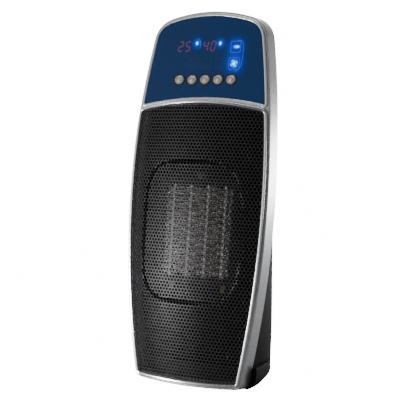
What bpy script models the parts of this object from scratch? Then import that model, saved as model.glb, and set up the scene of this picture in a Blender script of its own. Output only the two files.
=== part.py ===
"""Tower ceramic heater: a leaning barrel-shaped front on a black housing and foot.

Units are metres, +Z is up and the grille faces -Y. Pieces of the face are modelled in the
face frame, an empty that leans back: local X runs across, local Z up the slope and local Y
into the heater, so a depth is always a local Y.
"""
import math

import bmesh
import bpy
from mathutils import Matrix, Vector

for old in list(bpy.data.objects):
    bpy.data.objects.remove(old, do_unlink=True)

# Overall form of the face
GAP = 0.0003                 # clearance between pieces that touch
LEAN = math.radians(7.4)     # the face leans back by this much
FACE_RISE = 0.0085           # floor to the lowest point of the grille opening
FACE_LENGTH = 0.430          # slope length, grille bottom edge to window top edge
HALF_WIDTH = 0.0874          # half width of the openings where the barrel is widest
NARROWING = 0.0220           # loss of half width at both ends of the barrel
BOW = 0.0107                 # how far both ends of the face fall back
BULGE = 0.0129               # how far the grille swells forward at its middle line
BULGE_HALF = HALF_WIDTH - 0.0014     # half width over which the grille swells
SWELL_FADE = 0.0350          # slope length over which the frame's swell dies out
BOTTOM_SAG = 0.0024          # rise of the bottom edge towards the corners
TOP_SAG = 0.0116             # drop of the top edge towards the corners
DIVIDER_SAG = 0.0085         # drop of the edges between grille and window
GRILLE_TOP = FACE_LENGTH - 0.1050    # slope height of the grille opening's top edge
WINDOW_BOTTOM = GRILLE_TOP + 0.0080  # slope height of the window opening's bottom edge
WINDOW_TOP_CORNER = 0.0150   # rounding of the window opening, top
WINDOW_LOW_CORNER = 0.0020   # rounding of the window opening, bottom
GRILLE_TOP_CORNER = 0.0040   # rounding of the grille opening, top
GRILLE_LOW_CORNER = 0.0022   # rounding of the grille opening, bottom

# Silver trim and frame
RING_WIDTH = 0.0032          # front width of both trim rings
RING_ROUND = 0.0006          # chamfer on the rings' front edges
RING_DEPTH = 0.0030          # how deep the grille ring stands
BEZEL_SET_BACK = 0.0012      # the window bezel stands this far behind the grille ring
LIP_REACH = 0.0018           # frame lip inside the openings
LIP_THICK = 0.0024
FRAME_STEP = 0.0014          # frame lip seen outside the rings
FRAME_ROUND = 0.0014         # rounding from the lip to the side band
BAND_FLARE = 0.0006          # the side band widens this much to its rear edge
BAND_DEPTH = 0.0225          # depth of the side band behind the face
BAND_WALL = 0.0024
FLANGE_THICK = 0.0020        # the band's inward flange, which the housing meets
FRAME_ROOM_REACH = 0.0300    # how far outside the face the room kept for the frame goes

# Grille and window
GRILLE_SET_BACK = 0.0015
GRILLE_THICK = 0.0012
RECESS_CENTRE = GRILLE_TOP - 0.1510  # slope height of the oval recess
RECESS_HALF_WIDTH = 0.0660
RECESS_HALF_HEIGHT = 0.0835
RECESS_POWER = 4.2
RECESS_FOLLOW = 0.75         # share of the barrel's shape that the recess floor keeps
RECESS_SINK = 0.0020         # depth of the recess floor behind that share
WINDOW_SET_BACK = 0.0004
WINDOW_THICK = 0.0013

# Buttons and the electronics behind the window
BUTTON_COUNT = 5
BUTTON_PITCH = 0.0175
BUTTON_HEIGHT_ON_FACE = WINDOW_BOTTOM + 0.0210
BUTTON_HALF_WIDTH = 0.0065
BUTTON_HALF_HEIGHT = 0.0053
BUTTON_CLEAR = 0.0005
BUTTON_PROUD = 0.0008
BUTTON_FLANGE = 0.0011
BUTTON_TRAVEL = 0.0008
SWITCH_SIZE = 0.0060
SWITCH_HEIGHT = 0.0016
BOARD_DEPTH = 0.0095         # display board's front face behind the window line
BOARD_THICK = 0.0016
BOARD_HALF_WIDTH = 0.0540
BOARD_LOW = WINDOW_BOTTOM + 0.0130
BOARD_HIGH = WINDOW_BOTTOM + 0.0750
DISPLAY_HALF_WIDTH = 0.0480
DISPLAY_LOW = WINDOW_BOTTOM + 0.0300
DISPLAY_HIGH = WINDOW_BOTTOM + 0.0710
DISPLAY_THICK = 0.0040
TRAY_WALL = 0.0016
TRAY_ROOM = 0.0020
TRAY_DEPTH = 0.0080

# Heating element
HEATER_CENTRE = RECESS_CENTRE + 0.0015
HEATER_HALF_WIDTH = 0.0452
HEATER_HALF_HEIGHT = 0.0545
HEATER_DEPTH = 0.0110        # depth of the element's front
HEATER_THICK = 0.0130
HEATER_RIM = 0.0070          # width of the holder around the element
HEATER_RIM_FRONT = 0.0015
BAR_COUNT = 4
BAR_PITCH = 0.0233
BAR_WIDTH = 0.0030
TERMINAL_LENGTH = 0.0090
BAFFLE_DEPTH = 0.0280        # dark panel round the duct, which closes the space behind
BAFFLE_THICK = 0.0015
BAFFLE_LOW = 0.0270
BAFFLE_HIGH = GRILLE_TOP + 0.0100
BAFFLE_INSET = 0.0075
BAFFLE_CLEAR = 0.0019        # room left round the heater holder and the duct

# Fan, duct and motor
DUCT_FRONT_GAP = 0.0006
DUCT_TURN = 0.0150           # depth over which the duct goes from oblong to round
DUCT_ROUND = 0.0250          # length of the duct's round part
DUCT_WALL = 0.0018
FAN_RADIUS = 0.0540
FAN_CLEAR = 0.0025
FAN_HUB_RADIUS = 0.0170
FAN_HUB_LENGTH = 0.0150
FAN_BLADES = 7
FAN_BLADE_CHORD = 0.0260
FAN_BLADE_THICK = 0.0016
FAN_BLADE_PITCH = math.radians(32)
SHAFT_RADIUS = 0.0020
SHAFT_CLEAR = 0.0004
SHAFT_SEAT = 0.0030          # the shaft stops this far behind the hub's front
SHAFT_TAIL = 0.0020          # shaft seen behind the motor
BRACKET_THICK = 0.0025
BRACKET_ARM = 0.0100
MOTOR_RADIUS = 0.0260
MOTOR_LENGTH = 0.0200

# Rear housing and foot
SHELL = 0.0025
PLAN_HALF_WIDTH = HALF_WIDTH + 0.0016
PLAN_CENTRE = 0.0220         # depth on the floor where the housing is widest
PLAN_BACK = HEATER_CENTRE * math.sin(LEAN) + 0.1054   # the housing's rear, behind the motor
PLAN_POWER = 2.1
SHOULDER_TOP = FACE_RISE + FACE_LENGTH * math.cos(LEAN) + 0.0011   # floor to the housing's top
SHOULDER_HEIGHT = 0.0560     # rounding of the housing's top rear edge
SHOULDER_LENGTH = 0.0480
HOUSING_INSET = 0.0015       # the housing's side stands inside the band's outer face
VENT_COUNT = 13
VENT_PITCH = 0.0090
VENT_HEIGHT = 0.0035
VENT_HALF_WIDTH = 0.0400
VENT_CENTRE = 0.2000
FILTER_THICK = 0.0012
FILTER_HALF_WIDTH = 0.0470
FOOT_HEIGHT = 0.0270
FOOT_CHAMFER_HEIGHT = 0.0125
FOOT_CHAMFER = 0.0093
FOOT_HALF_WIDTH = PLAN_HALF_WIDTH - 0.0070
FOOT_CENTRE = 0.0300
FOOT_POWER = 2.3
FOOT_FRONT = 0.0120
FOOT_FLOOR = 0.0042
PAD_RADIUS = 0.0070
PAD_SINK = 0.0020
PAD_STAND = 0.0012
PAD_SPREAD = 0.0470
PAD_FRONT = 0.0490
PAD_BACK = 0.0880

# Power parts in the lower housing
POWER_BOARD_HALF_WIDTH = 0.0420
POWER_BOARD_LOW = 0.0450
POWER_BOARD_HIGH = 0.0950
POWER_BOARD_DEPTH = 0.0560
RELAY_SIZE = (0.0160, 0.0160, 0.0200)
CAPACITOR_RADIUS = 0.0065
CAPACITOR_LENGTH = 0.0200
CUTOFF_RADIUS = 0.0080
CUTOFF_LENGTH = 0.0070
PLUNGER_RADIUS = 0.0035
PLUNGER_CLEAR = 0.0006
PLUNGER_PLACE = 0.0720
PLUNGER_TRAVEL = 0.0050
PLUNGER_FLANGE = 0.0014      # thickness of the flange that keeps the plunger in
PLUNGER_FLANGE_RADIUS = 0.0056
TIP_BOX = 0.0120
ROCKER_PLACE = 0.0260        # sideways place of the power rocker
ROCKER_RISE = 0.0520
ROCKER_WIDTH = 0.0130
ROCKER_HEIGHT = 0.0190
ROCKER_WALL = 0.0016
ROCKER_DEPTH = 0.0120
ROCKER_CLEAR = 0.0006
ROCKER_TILT = math.radians(8)
ROCKER_FACE = (0.0060, 0.0044)       # rocker's face in front of its axle: ends and middle
ROCKER_KEEL = (0.0010, 0.0030)       # rocker's underside behind its axle: ends and middle
BUSH_RADIUS = 0.0065
BUSH_FLANGE = 0.0015
BUSH_LENGTH = 0.0100
BUSH_PLACE = -0.0260
BUSH_RISE = 0.0450
CORD_HOLE_RADIUS = 0.0035
SCREW_RADIUS = 0.0016
SCREW_HEAD_RADIUS = 0.0032
SCREW_HEAD = 0.0020
SCREW_LENGTH = 0.0140
REAR_SCREW_ACROSS = 0.0300
REAR_SCREW_HEIGHTS = (0.0750, 0.2900)
FOOT_SCREW_ACROSS = 0.0280
FOOT_SCREW_DEPTHS = (0.0580, 0.0980)
FOOT_FRONT_CORNER = 0.0180

SMOOTH_ANGLE = math.radians(35)
WIDEST = FACE_LENGTH / 2
FRONT_REACH = 0.0026         # the face's foremost point stands this far ahead of its frame
MID_SHIFT = (PLAN_BACK - FRONT_REACH) / 2    # puts the origin under the middle

parts = bpy.data.collections.new("ceramic_heater")
cutters = bpy.data.collections.new("cutters")
bpy.context.scene.collection.children.link(parts)
bpy.context.scene.collection.children.link(cutters)


# ---------------------------------------------------------------- small tools
def material(name, colour, roughness, metallic=0.0):
    mat = bpy.data.materials.new(name)
    mat.use_nodes = True
    shader = mat.node_tree.nodes["Principled BSDF"]
    shader.inputs["Base Color"].default_value = (*colour, 1.0)
    shader.inputs["Roughness"].default_value = roughness
    shader.inputs["Metallic"].default_value = metallic
    mat.diffuse_color = (*colour, 1.0)
    return mat


def mesh_object(name, bm, parent=None):
    mesh = bpy.data.meshes.new(name)
    bm.to_mesh(mesh)
    bm.free()
    obj = bpy.data.objects.new(name, mesh)
    obj.parent = parent
    return obj


def keep(obj, mat):
    """Store a finished piece with its own material and smooth shading."""
    parts.objects.link(obj)
    obj.data.materials.clear()
    obj.data.materials.append(mat)
    obj.data.shade_smooth()
    obj.data.set_sharp_from_angle(angle=SMOOTH_ANGLE)
    return obj


def cutter(obj):
    cutters.objects.link(obj)
    obj.hide_render = True
    obj.display_type = "WIRE"
    return obj


def combine(obj, other, operation):
    mod = obj.modifiers.new(operation.lower(), "BOOLEAN")
    mod.operation = operation
    mod.solver = "EXACT"
    mod.object = other
    return obj


def box(name, low, high, parent=None):
    bm = bmesh.new()
    bmesh.ops.create_cube(bm, size=1.0)
    for vert in bm.verts:
        for axis in range(3):
            vert.co[axis] = high[axis] if vert.co[axis] > 0 else low[axis]
    return mesh_object(name, bm, parent)


def cylinder(name, radius, start, end, parent=None, sides=32, end_radius=None):
    """A round solid from start to end, two points in the parent's frame."""
    start = Vector(start)
    axis = Vector(end) - start
    bm = bmesh.new()
    bmesh.ops.create_cone(bm, cap_ends=True, segments=sides, radius1=radius,
                          radius2=radius if end_radius is None else end_radius,
                          depth=axis.length)
    turn = Vector((0, 0, 1)).rotation_difference(axis).to_matrix().to_4x4()
    bm.transform(Matrix.Translation(start + axis / 2) @ turn)
    return mesh_object(name, bm, parent)


def flat_outline(name, points, low, high, parent=None, upright=False):
    """A filled outline with thickness, along local Y, or along Z when upright."""
    curve = bpy.data.curves.new(name, "CURVE")
    curve.dimensions = "2D"
    curve.fill_mode = "BOTH"
    curve.extrude = (high - low) / 2
    spline = curve.splines.new("POLY")
    spline.points.add(len(points) - 1)
    for point, (across, along) in zip(spline.points, points):
        point.co = (across, along, 0.0, 1.0)
    spline.use_cyclic_u = True
    shape = bpy.data.objects.new(name, curve)
    bpy.context.scene.collection.objects.link(shape)
    graph = bpy.context.evaluated_depsgraph_get()
    mesh = bpy.data.meshes.new_from_object(shape.evaluated_get(graph))
    bpy.data.objects.remove(shape)
    bm = bmesh.new()
    bm.from_mesh(mesh)
    bmesh.ops.remove_doubles(bm, verts=bm.verts, dist=1e-6)
    middle = (low + high) / 2
    if upright:
        bm.transform(Matrix.Translation((0, 0, middle)))
    else:
        bm.transform(Matrix.Translation((0, middle, 0)) @ Matrix.Rotation(math.pi / 2, 4, "X"))
    bmesh.ops.recalc_face_normals(bm, faces=bm.faces)
    return mesh_object(name, bm, parent)


# ---------------------------------------------------------------- the face's curves
def half_width(s):
    """Half width of the barrel at slope height s."""
    t = (s - WIDEST) / WIDEST
    return HALF_WIDTH - NARROWING * t * t


def bow(s):
    """Depth of the face: a slow arc up the grille, then straight on along the window."""
    s_line = min(s, GRILLE_TOP)
    slope = 2 * BOW * (s_line - WIDEST) / WIDEST ** 2
    return BOW * ((s_line - WIDEST) / WIDEST) ** 2 + slope * (s - s_line)


def grille_surface(x, s):
    return bow(s) - BULGE * (1 - (x / BULGE_HALF) ** 2)


def recess_surface(x, s):
    return RECESS_FOLLOW * grille_surface(x, s) + RECESS_SINK


def window_surface(x, s):
    return bow(s)


def frame_surface(x, s):
    """The swell of the grille, which dies out just below the window."""
    fade = min(max((GRILLE_TOP - s) / SWELL_FADE, 0.0), 1.0)
    fade = fade * fade * (3 - 2 * fade)
    return fade * grille_surface(x, s) + (1 - fade) * window_surface(x, s)


def bottom_edge(x):
    return BOTTOM_SAG * (x / half_width(0)) ** 2


def seat_surface(x, s):
    """The frame's surface, carried straight outwards past the face's edges."""
    s_edge = min(max(s, bottom_edge(x)), top_edge(x))
    reach = half_width(s_edge)
    return frame_surface(min(max(x, -reach), reach), s_edge)


def grille_top_edge(x):
    return GRILLE_TOP - DIVIDER_SAG * (x / half_width(GRILLE_TOP)) ** 2


def window_bottom_edge(x):
    return WINDOW_BOTTOM - DIVIDER_SAG * (x / half_width(WINDOW_BOTTOM)) ** 2


def top_edge(x):
    return FACE_LENGTH - TOP_SAG * (x / half_width(FACE_LENGTH)) ** 2


def corner_of(edge):
    """Where an edge across the face meets the barrel's right side."""
    x = HALF_WIDTH
    for _ in range(20):
        x = half_width(edge(x))
    return Vector((x, edge(x)))


def opening(low_edge, high_edge, low_round, high_round, across=10, up=16, turn=4):
    """Closed outline of an opening, anticlockwise from its bottom left."""
    low, high = corner_of(low_edge), corner_of(high_edge)
    bottom_half = low.x - low_round
    top_half = high.x - high_round
    side_low, side_high = low.y + low_round, high.y - high_round
    right = []
    for i in range(up + 1):
        s = side_low + (side_high - side_low) * i / up
        right.append(Vector((half_width(s), s)))
    bottom = []
    for i in range(across + 1):
        x = -bottom_half + 2 * bottom_half * i / across
        bottom.append(Vector((x, low_edge(x))))
    top = []
    for i in range(across + 1):
        x = top_half - 2 * top_half * i / across
        top.append(Vector((x, high_edge(x))))
    low_turn = bend(bottom[-1], low, right[0], turn)
    high_turn = bend(right[-1], high, top[0], turn)
    left = [Vector((-p.x, p.y)) for p in reversed(right)]
    high_left = [Vector((-p.x, p.y)) for p in reversed(high_turn)]
    low_left = [Vector((-p.x, p.y)) for p in reversed(low_turn)]
    return bottom + low_turn + right + high_turn + top + high_left + left + low_left


def bend(start, corner, end, steps):
    """Points of a rounded corner, without its two ends."""
    points = []
    for i in range(1, steps):
        t = i / steps
        points.append(start * (1 - t) ** 2 + corner * 2 * t * (1 - t) + end * t * t)
    return points


def outward(outline):
    """Unit normals of an anticlockwise outline."""
    normals = []
    for i, point in enumerate(outline):
        along = outline[(i + 1) % len(outline)] - outline[i - 1]
        normals.append(Vector((along.y, -along.x)).normalized())
    return normals


def grown(outline, distance):
    return [p + n * distance for p, n in zip(outline, outward(outline))]


def swept_ring(name, outline, section, surface, parent):
    """A section of (outward, depth) points carried round an outline on the face."""
    bm = bmesh.new()
    rings = []
    for point, normal in zip(outline, outward(outline)):
        ring = []
        for out, depth in section:
            place = point + normal * out
            ring.append(bm.verts.new((place.x, surface(point.x, point.y) + depth, place.y)))
        rings.append(ring)
    for a, b in zip(rings, rings[1:] + rings[:1]):
        for i in range(len(section)):
            j = (i + 1) % len(section)
            bm.faces.new((a[i], a[j], b[j], b[i]))
    bmesh.ops.recalc_face_normals(bm, faces=bm.faces)
    return mesh_object(name, bm, parent)


def face_slab(name, half, low, high, front, back, parent, across=20, up=40):
    """A block of the face between two depths, each a function of (x, s)."""
    bm = bmesh.new()
    bmesh.ops.create_grid(bm, x_segments=across, y_segments=up, size=1.0)
    grid = list(bm.verts)
    extruded = bmesh.ops.extrude_face_region(bm, geom=list(bm.faces))
    lifted = {v for v in extruded["geom"] if isinstance(v, bmesh.types.BMVert)}
    for vert in grid + list(lifted):
        x = vert.co.x * half
        s = low + (high - low) * (vert.co.y + 1) / 2
        depth = (front if vert in lifted else back)(x, s)
        vert.co = (x, depth, s)
    bmesh.ops.recalc_face_normals(bm, faces=bm.faces)
    return mesh_object(name, bm, parent)


def oval(half_x, half_z, centre, power=2.0, count=48):
    """A closed superellipse outline about (0, centre)."""
    points = []
    for i in range(count):
        angle = 2 * math.pi * i / count
        c, s = math.cos(angle), math.sin(angle)
        points.append(Vector((half_x * math.copysign(abs(c) ** (2 / power), c),
                              centre + half_z * math.copysign(abs(s) ** (2 / power), s))))
    return points


# ---------------------------------------------------------------- frames
assembly = bpy.data.objects.new("assembly", None)
assembly.location = (0, -MID_SHIFT, 0)
parts.objects.link(assembly)
face = bpy.data.objects.new("face", None)
face.parent = assembly
face.location = (0, 0, FACE_RISE)
face.rotation_euler = (-LEAN, 0, 0)
parts.objects.link(face)

WINDOW_TILT = math.atan(2 * BOW * (GRILLE_TOP - WIDEST) / WIDEST ** 2)
window = bpy.data.objects.new("window", None)
window.parent = face
window.location = (0, bow(BUTTON_HEIGHT_ON_FACE) + BEZEL_SET_BACK, BUTTON_HEIGHT_ON_FACE)
window.rotation_euler = (-WINDOW_TILT, 0, 0)
parts.objects.link(window)

silver = material("silver_paint", (0.62, 0.62, 0.64), 0.28, 0.85)
trim_silver = material("bright_trim", (0.80, 0.80, 0.81), 0.22, 0.85)
black_mesh = material("grille_black", (0.012, 0.012, 0.013), 0.42)
black_case = material("case_black", (0.010, 0.010, 0.012), 0.35)
window_blue = material("window_blue", (0.010, 0.045, 0.13), 0.10)
button_silver = material("button_silver", (0.42, 0.38, 0.34), 0.30, 0.6)
board_green = material("board_green", (0.02, 0.16, 0.07), 0.50)
inner_white = material("inner_white", (0.75, 0.75, 0.72), 0.50)
inner_black = material("inner_black", (0.03, 0.03, 0.03), 0.55)
heat_plastic = material("heat_plastic", (0.16, 0.11, 0.07), 0.60)
fin_aluminium = material("fin_aluminium", (0.60, 0.57, 0.52), 0.40, 0.9)
bar_aluminium = material("bar_aluminium", (0.72, 0.69, 0.64), 0.35, 0.9)
brass = material("brass", (0.70, 0.52, 0.22), 0.35, 0.9)
steel = material("steel", (0.55, 0.55, 0.56), 0.30, 1.0)
motor_steel = material("motor_steel", (0.30, 0.28, 0.27), 0.45, 0.8)
fan_plastic = material("fan_plastic", (0.05, 0.05, 0.055), 0.45)
filter_grey = material("filter_grey", (0.10, 0.10, 0.11), 0.80)
rubber = material("rubber", (0.02, 0.02, 0.02), 0.85)

# ---------------------------------------------------------------- silver trim and frame
grille_opening = opening(bottom_edge, grille_top_edge, GRILLE_LOW_CORNER, GRILLE_TOP_CORNER)
window_opening = opening(window_bottom_edge, top_edge, WINDOW_LOW_CORNER, WINDOW_TOP_CORNER,
                         up=8, turn=6)
whole_face = opening(bottom_edge, top_edge, GRILLE_LOW_CORNER, WINDOW_TOP_CORNER, up=22, turn=6)


def ring_section(depth, start=0.0):
    return [(0, start + RING_ROUND), (RING_ROUND, start), (RING_WIDTH - RING_ROUND, start),
            (RING_WIDTH, start + RING_ROUND), (RING_WIDTH, depth), (0, depth)]


keep(swept_ring("grille_ring", grille_opening, ring_section(RING_DEPTH), grille_surface, face),
     trim_silver)
keep(swept_ring("window_bezel", window_opening, ring_section(RING_DEPTH, BEZEL_SET_BACK),
                window_surface, face), trim_silver)

lip_front = RING_DEPTH + GAP
lip_back = lip_front + LIP_THICK
band_edge = RING_WIDTH + FRAME_STEP + FRAME_ROUND
band_inner = band_edge - BAND_WALL
flange_front = BAND_DEPTH - FLANGE_THICK
frame_section = [(-LIP_REACH, lip_front), (RING_WIDTH + FRAME_STEP, lip_front),
                 (band_edge, lip_front + FRAME_ROUND), (band_edge + BAND_FLARE, BAND_DEPTH),
                 (-LIP_REACH, BAND_DEPTH), (-LIP_REACH, flange_front),
                 (band_inner, flange_front), (band_inner, lip_back), (-LIP_REACH, lip_back)]
frame = keep(swept_ring("front_frame", whole_face, frame_section, frame_surface, face), silver)

# The frame's cross bar closes the step from the swollen grille to the flat window.
bar_half = half_width(GRILLE_TOP) + RING_WIDTH / 2
shelf_low = GRILLE_TOP - LIP_REACH
shelf_high = WINDOW_BOTTOM + LIP_REACH


def bar_outline(low, high):
    """A strip across the face that runs parallel to the edges between the openings."""
    xs = [bar_half * (i / 12 - 1) for i in range(25)]
    under = [Vector((x, grille_top_edge(x) + low)) for x in xs]
    over = [Vector((x, grille_top_edge(x) + high)) for x in reversed(xs)]
    return under + over


def slab_between(name, front, back):
    return face_slab(name, bar_half * 1.1, GRILLE_TOP - 3 * DIVIDER_SAG,
                     WINDOW_BOTTOM + 3 * DIVIDER_SAG, front, back, face, up=8)


seam = (WINDOW_BOTTOM - GRILLE_TOP) / 2
shelf = flat_outline("shelf_trim", bar_outline(-LIP_REACH, seam), -2 * BULGE, 3 * BULGE, face)
combine(cutter(shelf), cutter(slab_between(
    "shelf_block", lambda x, s: grille_surface(x, s) + lip_front,
    lambda x, s: window_surface(x, s) + lip_back)), "INTERSECT")
ledge = flat_outline("ledge_trim", bar_outline(seam / 2, shelf_high - GRILLE_TOP),
                     -2 * BULGE, 3 * BULGE, face)
combine(cutter(ledge), cutter(slab_between(
    "ledge_block", lambda x, s: window_surface(x, s) + lip_front,
    lambda x, s: window_surface(x, s) + lip_back)), "INTERSECT")
combine(frame, shelf, "UNION")
combine(frame, ledge, "UNION")

# ---------------------------------------------------------------- perforated grille's sheet
grille = face_slab("front_grille", HALF_WIDTH * 1.05, -0.01, GRILLE_TOP + 0.01,
                   lambda x, s: grille_surface(x, s) + GRILLE_SET_BACK,
                   lambda x, s: grille_surface(x, s) + GRILLE_SET_BACK + GRILLE_THICK, face,
                   across=12, up=14)
grille_trim = cutter(flat_outline("grille_trim", grown(grille_opening, -GAP), -3 * BULGE,
                                  3 * BULGE, face))
combine(grille, grille_trim, "INTERSECT")
dish_outline = oval(RECESS_HALF_WIDTH, RECESS_HALF_HEIGHT, RECESS_CENTRE,
                    power=RECESS_POWER, count=36)


def dish_slab(name, front, back):
    reach = RECESS_HALF_HEIGHT * 1.1
    return cutter(face_slab(name, RECESS_HALF_WIDTH * 1.1, RECESS_CENTRE - reach,
                            RECESS_CENTRE + reach, front, back, face, across=10, up=12))


dish = flat_outline("dish", dish_outline, -4 * BULGE, 2 * BULGE, face)
combine(cutter(dish), dish_slab(
    "dish_skin", lambda x, s: grille_surface(x, s) + GRILLE_SET_BACK + GRILLE_THICK / 4,
    lambda x, s: recess_surface(x, s) + GRILLE_THICK), "INTERSECT")
dish_room = flat_outline("dish_room", grown(dish_outline, -GRILLE_THICK), -4 * BULGE, 2 * BULGE,
                         face)
combine(cutter(dish_room), dish_slab("dish_hollow", lambda x, s: -3 * BULGE, recess_surface),
        "INTERSECT")
combine(grille, dish, "UNION")
keep(combine(grille, dish_room, "DIFFERENCE"), black_mesh)

# ---------------------------------------------------------------- window with button holes
window_front = BEZEL_SET_BACK + WINDOW_SET_BACK
panel = face_slab("control_window", HALF_WIDTH * 1.05, WINDOW_BOTTOM - 3 * DIVIDER_SAG,
                  FACE_LENGTH + 0.01, lambda x, s: window_surface(x, s) + window_front,
                  lambda x, s: window_surface(x, s) + window_front + WINDOW_THICK, face,
                  across=8, up=8)
window_trim = cutter(flat_outline("window_trim", grown(window_opening, -GAP), -2 * BULGE,
                                  4 * BULGE, face))
combine(panel, window_trim, "INTERSECT")
button_places = [(i - (BUTTON_COUNT - 1) / 2) * BUTTON_PITCH for i in range(BUTTON_COUNT)]
for number, place in enumerate(button_places, 1):
    hole = flat_outline(f"button_hole_{number}",
                        [p + Vector((place, 0)) for p in
                         oval(BUTTON_HALF_WIDTH + BUTTON_CLEAR,
                              BUTTON_HALF_HEIGHT + BUTTON_CLEAR, 0, count=16)],
                        -BOARD_DEPTH, BOARD_DEPTH, window)
    combine(panel, cutter(hole), "DIFFERENCE")
keep(panel, window_blue)

# ---------------------------------------------------------------- buttons and switches
stem_depth = BOARD_DEPTH - SWITCH_HEIGHT - BUTTON_TRAVEL - GAP
flange_depth = WINDOW_SET_BACK + WINDOW_THICK + GAP


def button_mesh():
    """An oval cap with a domed front, a flange under the window and a round stem."""
    bm = bmesh.new()
    layers = [(0.55, -BUTTON_PROUD), (0.86, -0.6 * BUTTON_PROUD), (1.0, 0.0),
              (1.0, flange_depth)]
    flange = 1 + BUTTON_FLANGE / BUTTON_HALF_HEIGHT
    layers += [(flange, flange_depth), (flange, flange_depth + BUTTON_FLANGE),
               (0.45, flange_depth + BUTTON_FLANGE), (0.45, stem_depth)]
    loops = []
    for share, depth in layers:
        outline = oval(BUTTON_HALF_WIDTH * share, BUTTON_HALF_HEIGHT * share, 0, count=16)
        loops.append([bm.verts.new((p.x, depth, p.y)) for p in outline])
    for a, b in zip(loops, loops[1:]):
        for i in range(len(a)):
            j = (i + 1) % len(a)
            bm.faces.new((a[i], a[j], b[j], b[i]))
    bm.faces.new(loops[0])
    bm.faces.new(loops[-1])
    bmesh.ops.recalc_face_normals(bm, faces=bm.faces)
    return bm


for number, place in enumerate(button_places, 1):
    button = mesh_object(f"button_{number}", button_mesh(), window)
    button.location = (place, 0, 0)
    keep(button, button_silver)
    half = SWITCH_SIZE / 2
    switch = box(f"button_switch_{number}", (-half, BOARD_DEPTH - SWITCH_HEIGHT, -half),
                 (half, BOARD_DEPTH - GAP, half), window)
    switch.location = (place, 0, 0)
    keep(switch, inner_black)

up_low, up_high = (edge - BUTTON_HEIGHT_ON_FACE for edge in (BOARD_LOW, BOARD_HIGH))
keep(box("control_board", (-BOARD_HALF_WIDTH, BOARD_DEPTH, up_low),
         (BOARD_HALF_WIDTH, BOARD_DEPTH + BOARD_THICK, up_high), window), board_green)
keep(box("display_module",
         (-DISPLAY_HALF_WIDTH, BOARD_DEPTH - DISPLAY_THICK, DISPLAY_LOW - BUTTON_HEIGHT_ON_FACE),
         (DISPLAY_HALF_WIDTH, BOARD_DEPTH - GAP, DISPLAY_HIGH - BUTTON_HEIGHT_ON_FACE), window),
     inner_white)

tray_inner = BOARD_HALF_WIDTH + TRAY_ROOM
tray_outer = tray_inner + TRAY_WALL
tray_back = BOARD_DEPTH + TRAY_DEPTH
tray = box("control_tray", (-tray_outer, lip_back + GAP, up_low - TRAY_ROOM - TRAY_WALL),
           (tray_outer, tray_back, up_high + TRAY_ROOM + TRAY_WALL), window)
tray_hollow = cutter(box("tray_hollow", (-tray_inner, -BOARD_DEPTH, up_low - TRAY_ROOM),
                         (tray_inner, tray_back - TRAY_WALL, up_high + TRAY_ROOM), window))
keep(combine(tray, tray_hollow, "DIFFERENCE"), inner_black)

# ---------------------------------------------------------------- heating element
heater_low = HEATER_CENTRE - HEATER_HALF_HEIGHT
heater_high = HEATER_CENTRE + HEATER_HALF_HEIGHT
heater_back = HEATER_DEPTH + HEATER_THICK
holder_half = HEATER_HALF_WIDTH + HEATER_RIM
holder = box("heater_holder",
             (-holder_half, HEATER_DEPTH - HEATER_RIM_FRONT, heater_low - HEATER_RIM),
             (holder_half, heater_back + HEATER_RIM_FRONT, heater_high + HEATER_RIM), face)
holder_room = cutter(box("holder_room", (-HEATER_HALF_WIDTH - GAP, 0, heater_low - GAP),
                         (HEATER_HALF_WIDTH + GAP, 2 * heater_back, heater_high + GAP), face))
keep(combine(holder, holder_room, "DIFFERENCE"), heat_plastic)

bar_places = [(i - (BAR_COUNT - 1) / 2) * BAR_PITCH for i in range(BAR_COUNT)]
fin_start = -HEATER_HALF_WIDTH
for number, place in enumerate(bar_places + [None], 1):
    fin_end = HEATER_HALF_WIDTH if place is None else place - BAR_WIDTH / 2 - GAP
    keep(box(f"heater_fins_{number}", (fin_start, HEATER_DEPTH, heater_low),
             (fin_end, heater_back, heater_high), face), fin_aluminium)
    if place is not None:
        keep(box(f"heater_bar_{number}", (place - BAR_WIDTH / 2, HEATER_DEPTH, heater_low),
                 (place + BAR_WIDTH / 2, heater_back, heater_high), face), bar_aluminium)
        fin_start = place + BAR_WIDTH / 2 + GAP

terminal_high = heater_low - HEATER_RIM - GAP
for side, place in (("left", bar_places[0]), ("right", bar_places[-1])):
    keep(box(f"heater_terminal_{side}",
             (place - BAR_WIDTH, HEATER_DEPTH + HEATER_THICK / 2, terminal_high - TERMINAL_LENGTH),
             (place + BAR_WIDTH, HEATER_DEPTH + HEATER_THICK / 2 + GAP * 3, terminal_high), face),
         brass)
cutoff_top = heater_high + HEATER_RIM + GAP
keep(cylinder("thermal_cutoff", CUTOFF_RADIUS,
              (0, HEATER_DEPTH + HEATER_THICK / 2 + CUTOFF_RADIUS / 4, cutoff_top),
              (0, HEATER_DEPTH + HEATER_THICK / 2 + CUTOFF_RADIUS / 4, cutoff_top + CUTOFF_LENGTH),
              face, sides=24), inner_black)

# ---------------------------------------------------------------- duct, fan and motor
duct_front = heater_back + HEATER_RIM_FRONT + DUCT_FRONT_GAP
duct_waist = duct_front + DUCT_TURN
duct_end = duct_waist + DUCT_ROUND
duct_bore = FAN_RADIUS + FAN_CLEAR


def duct_loop(count, grow, share):
    """Outline of the duct: oblong where share is 0, round where share is 1."""
    round_loop = oval(duct_bore + grow, duct_bore + grow, HEATER_CENTRE, count=count)
    oblong = oval(holder_half - DUCT_WALL + grow,
                  HEATER_HALF_HEIGHT + HEATER_RIM - DUCT_WALL + grow, HEATER_CENTRE,
                  power=9, count=count)
    return [a * share + b * (1 - share) for a, b in zip(round_loop, oblong)]


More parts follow.
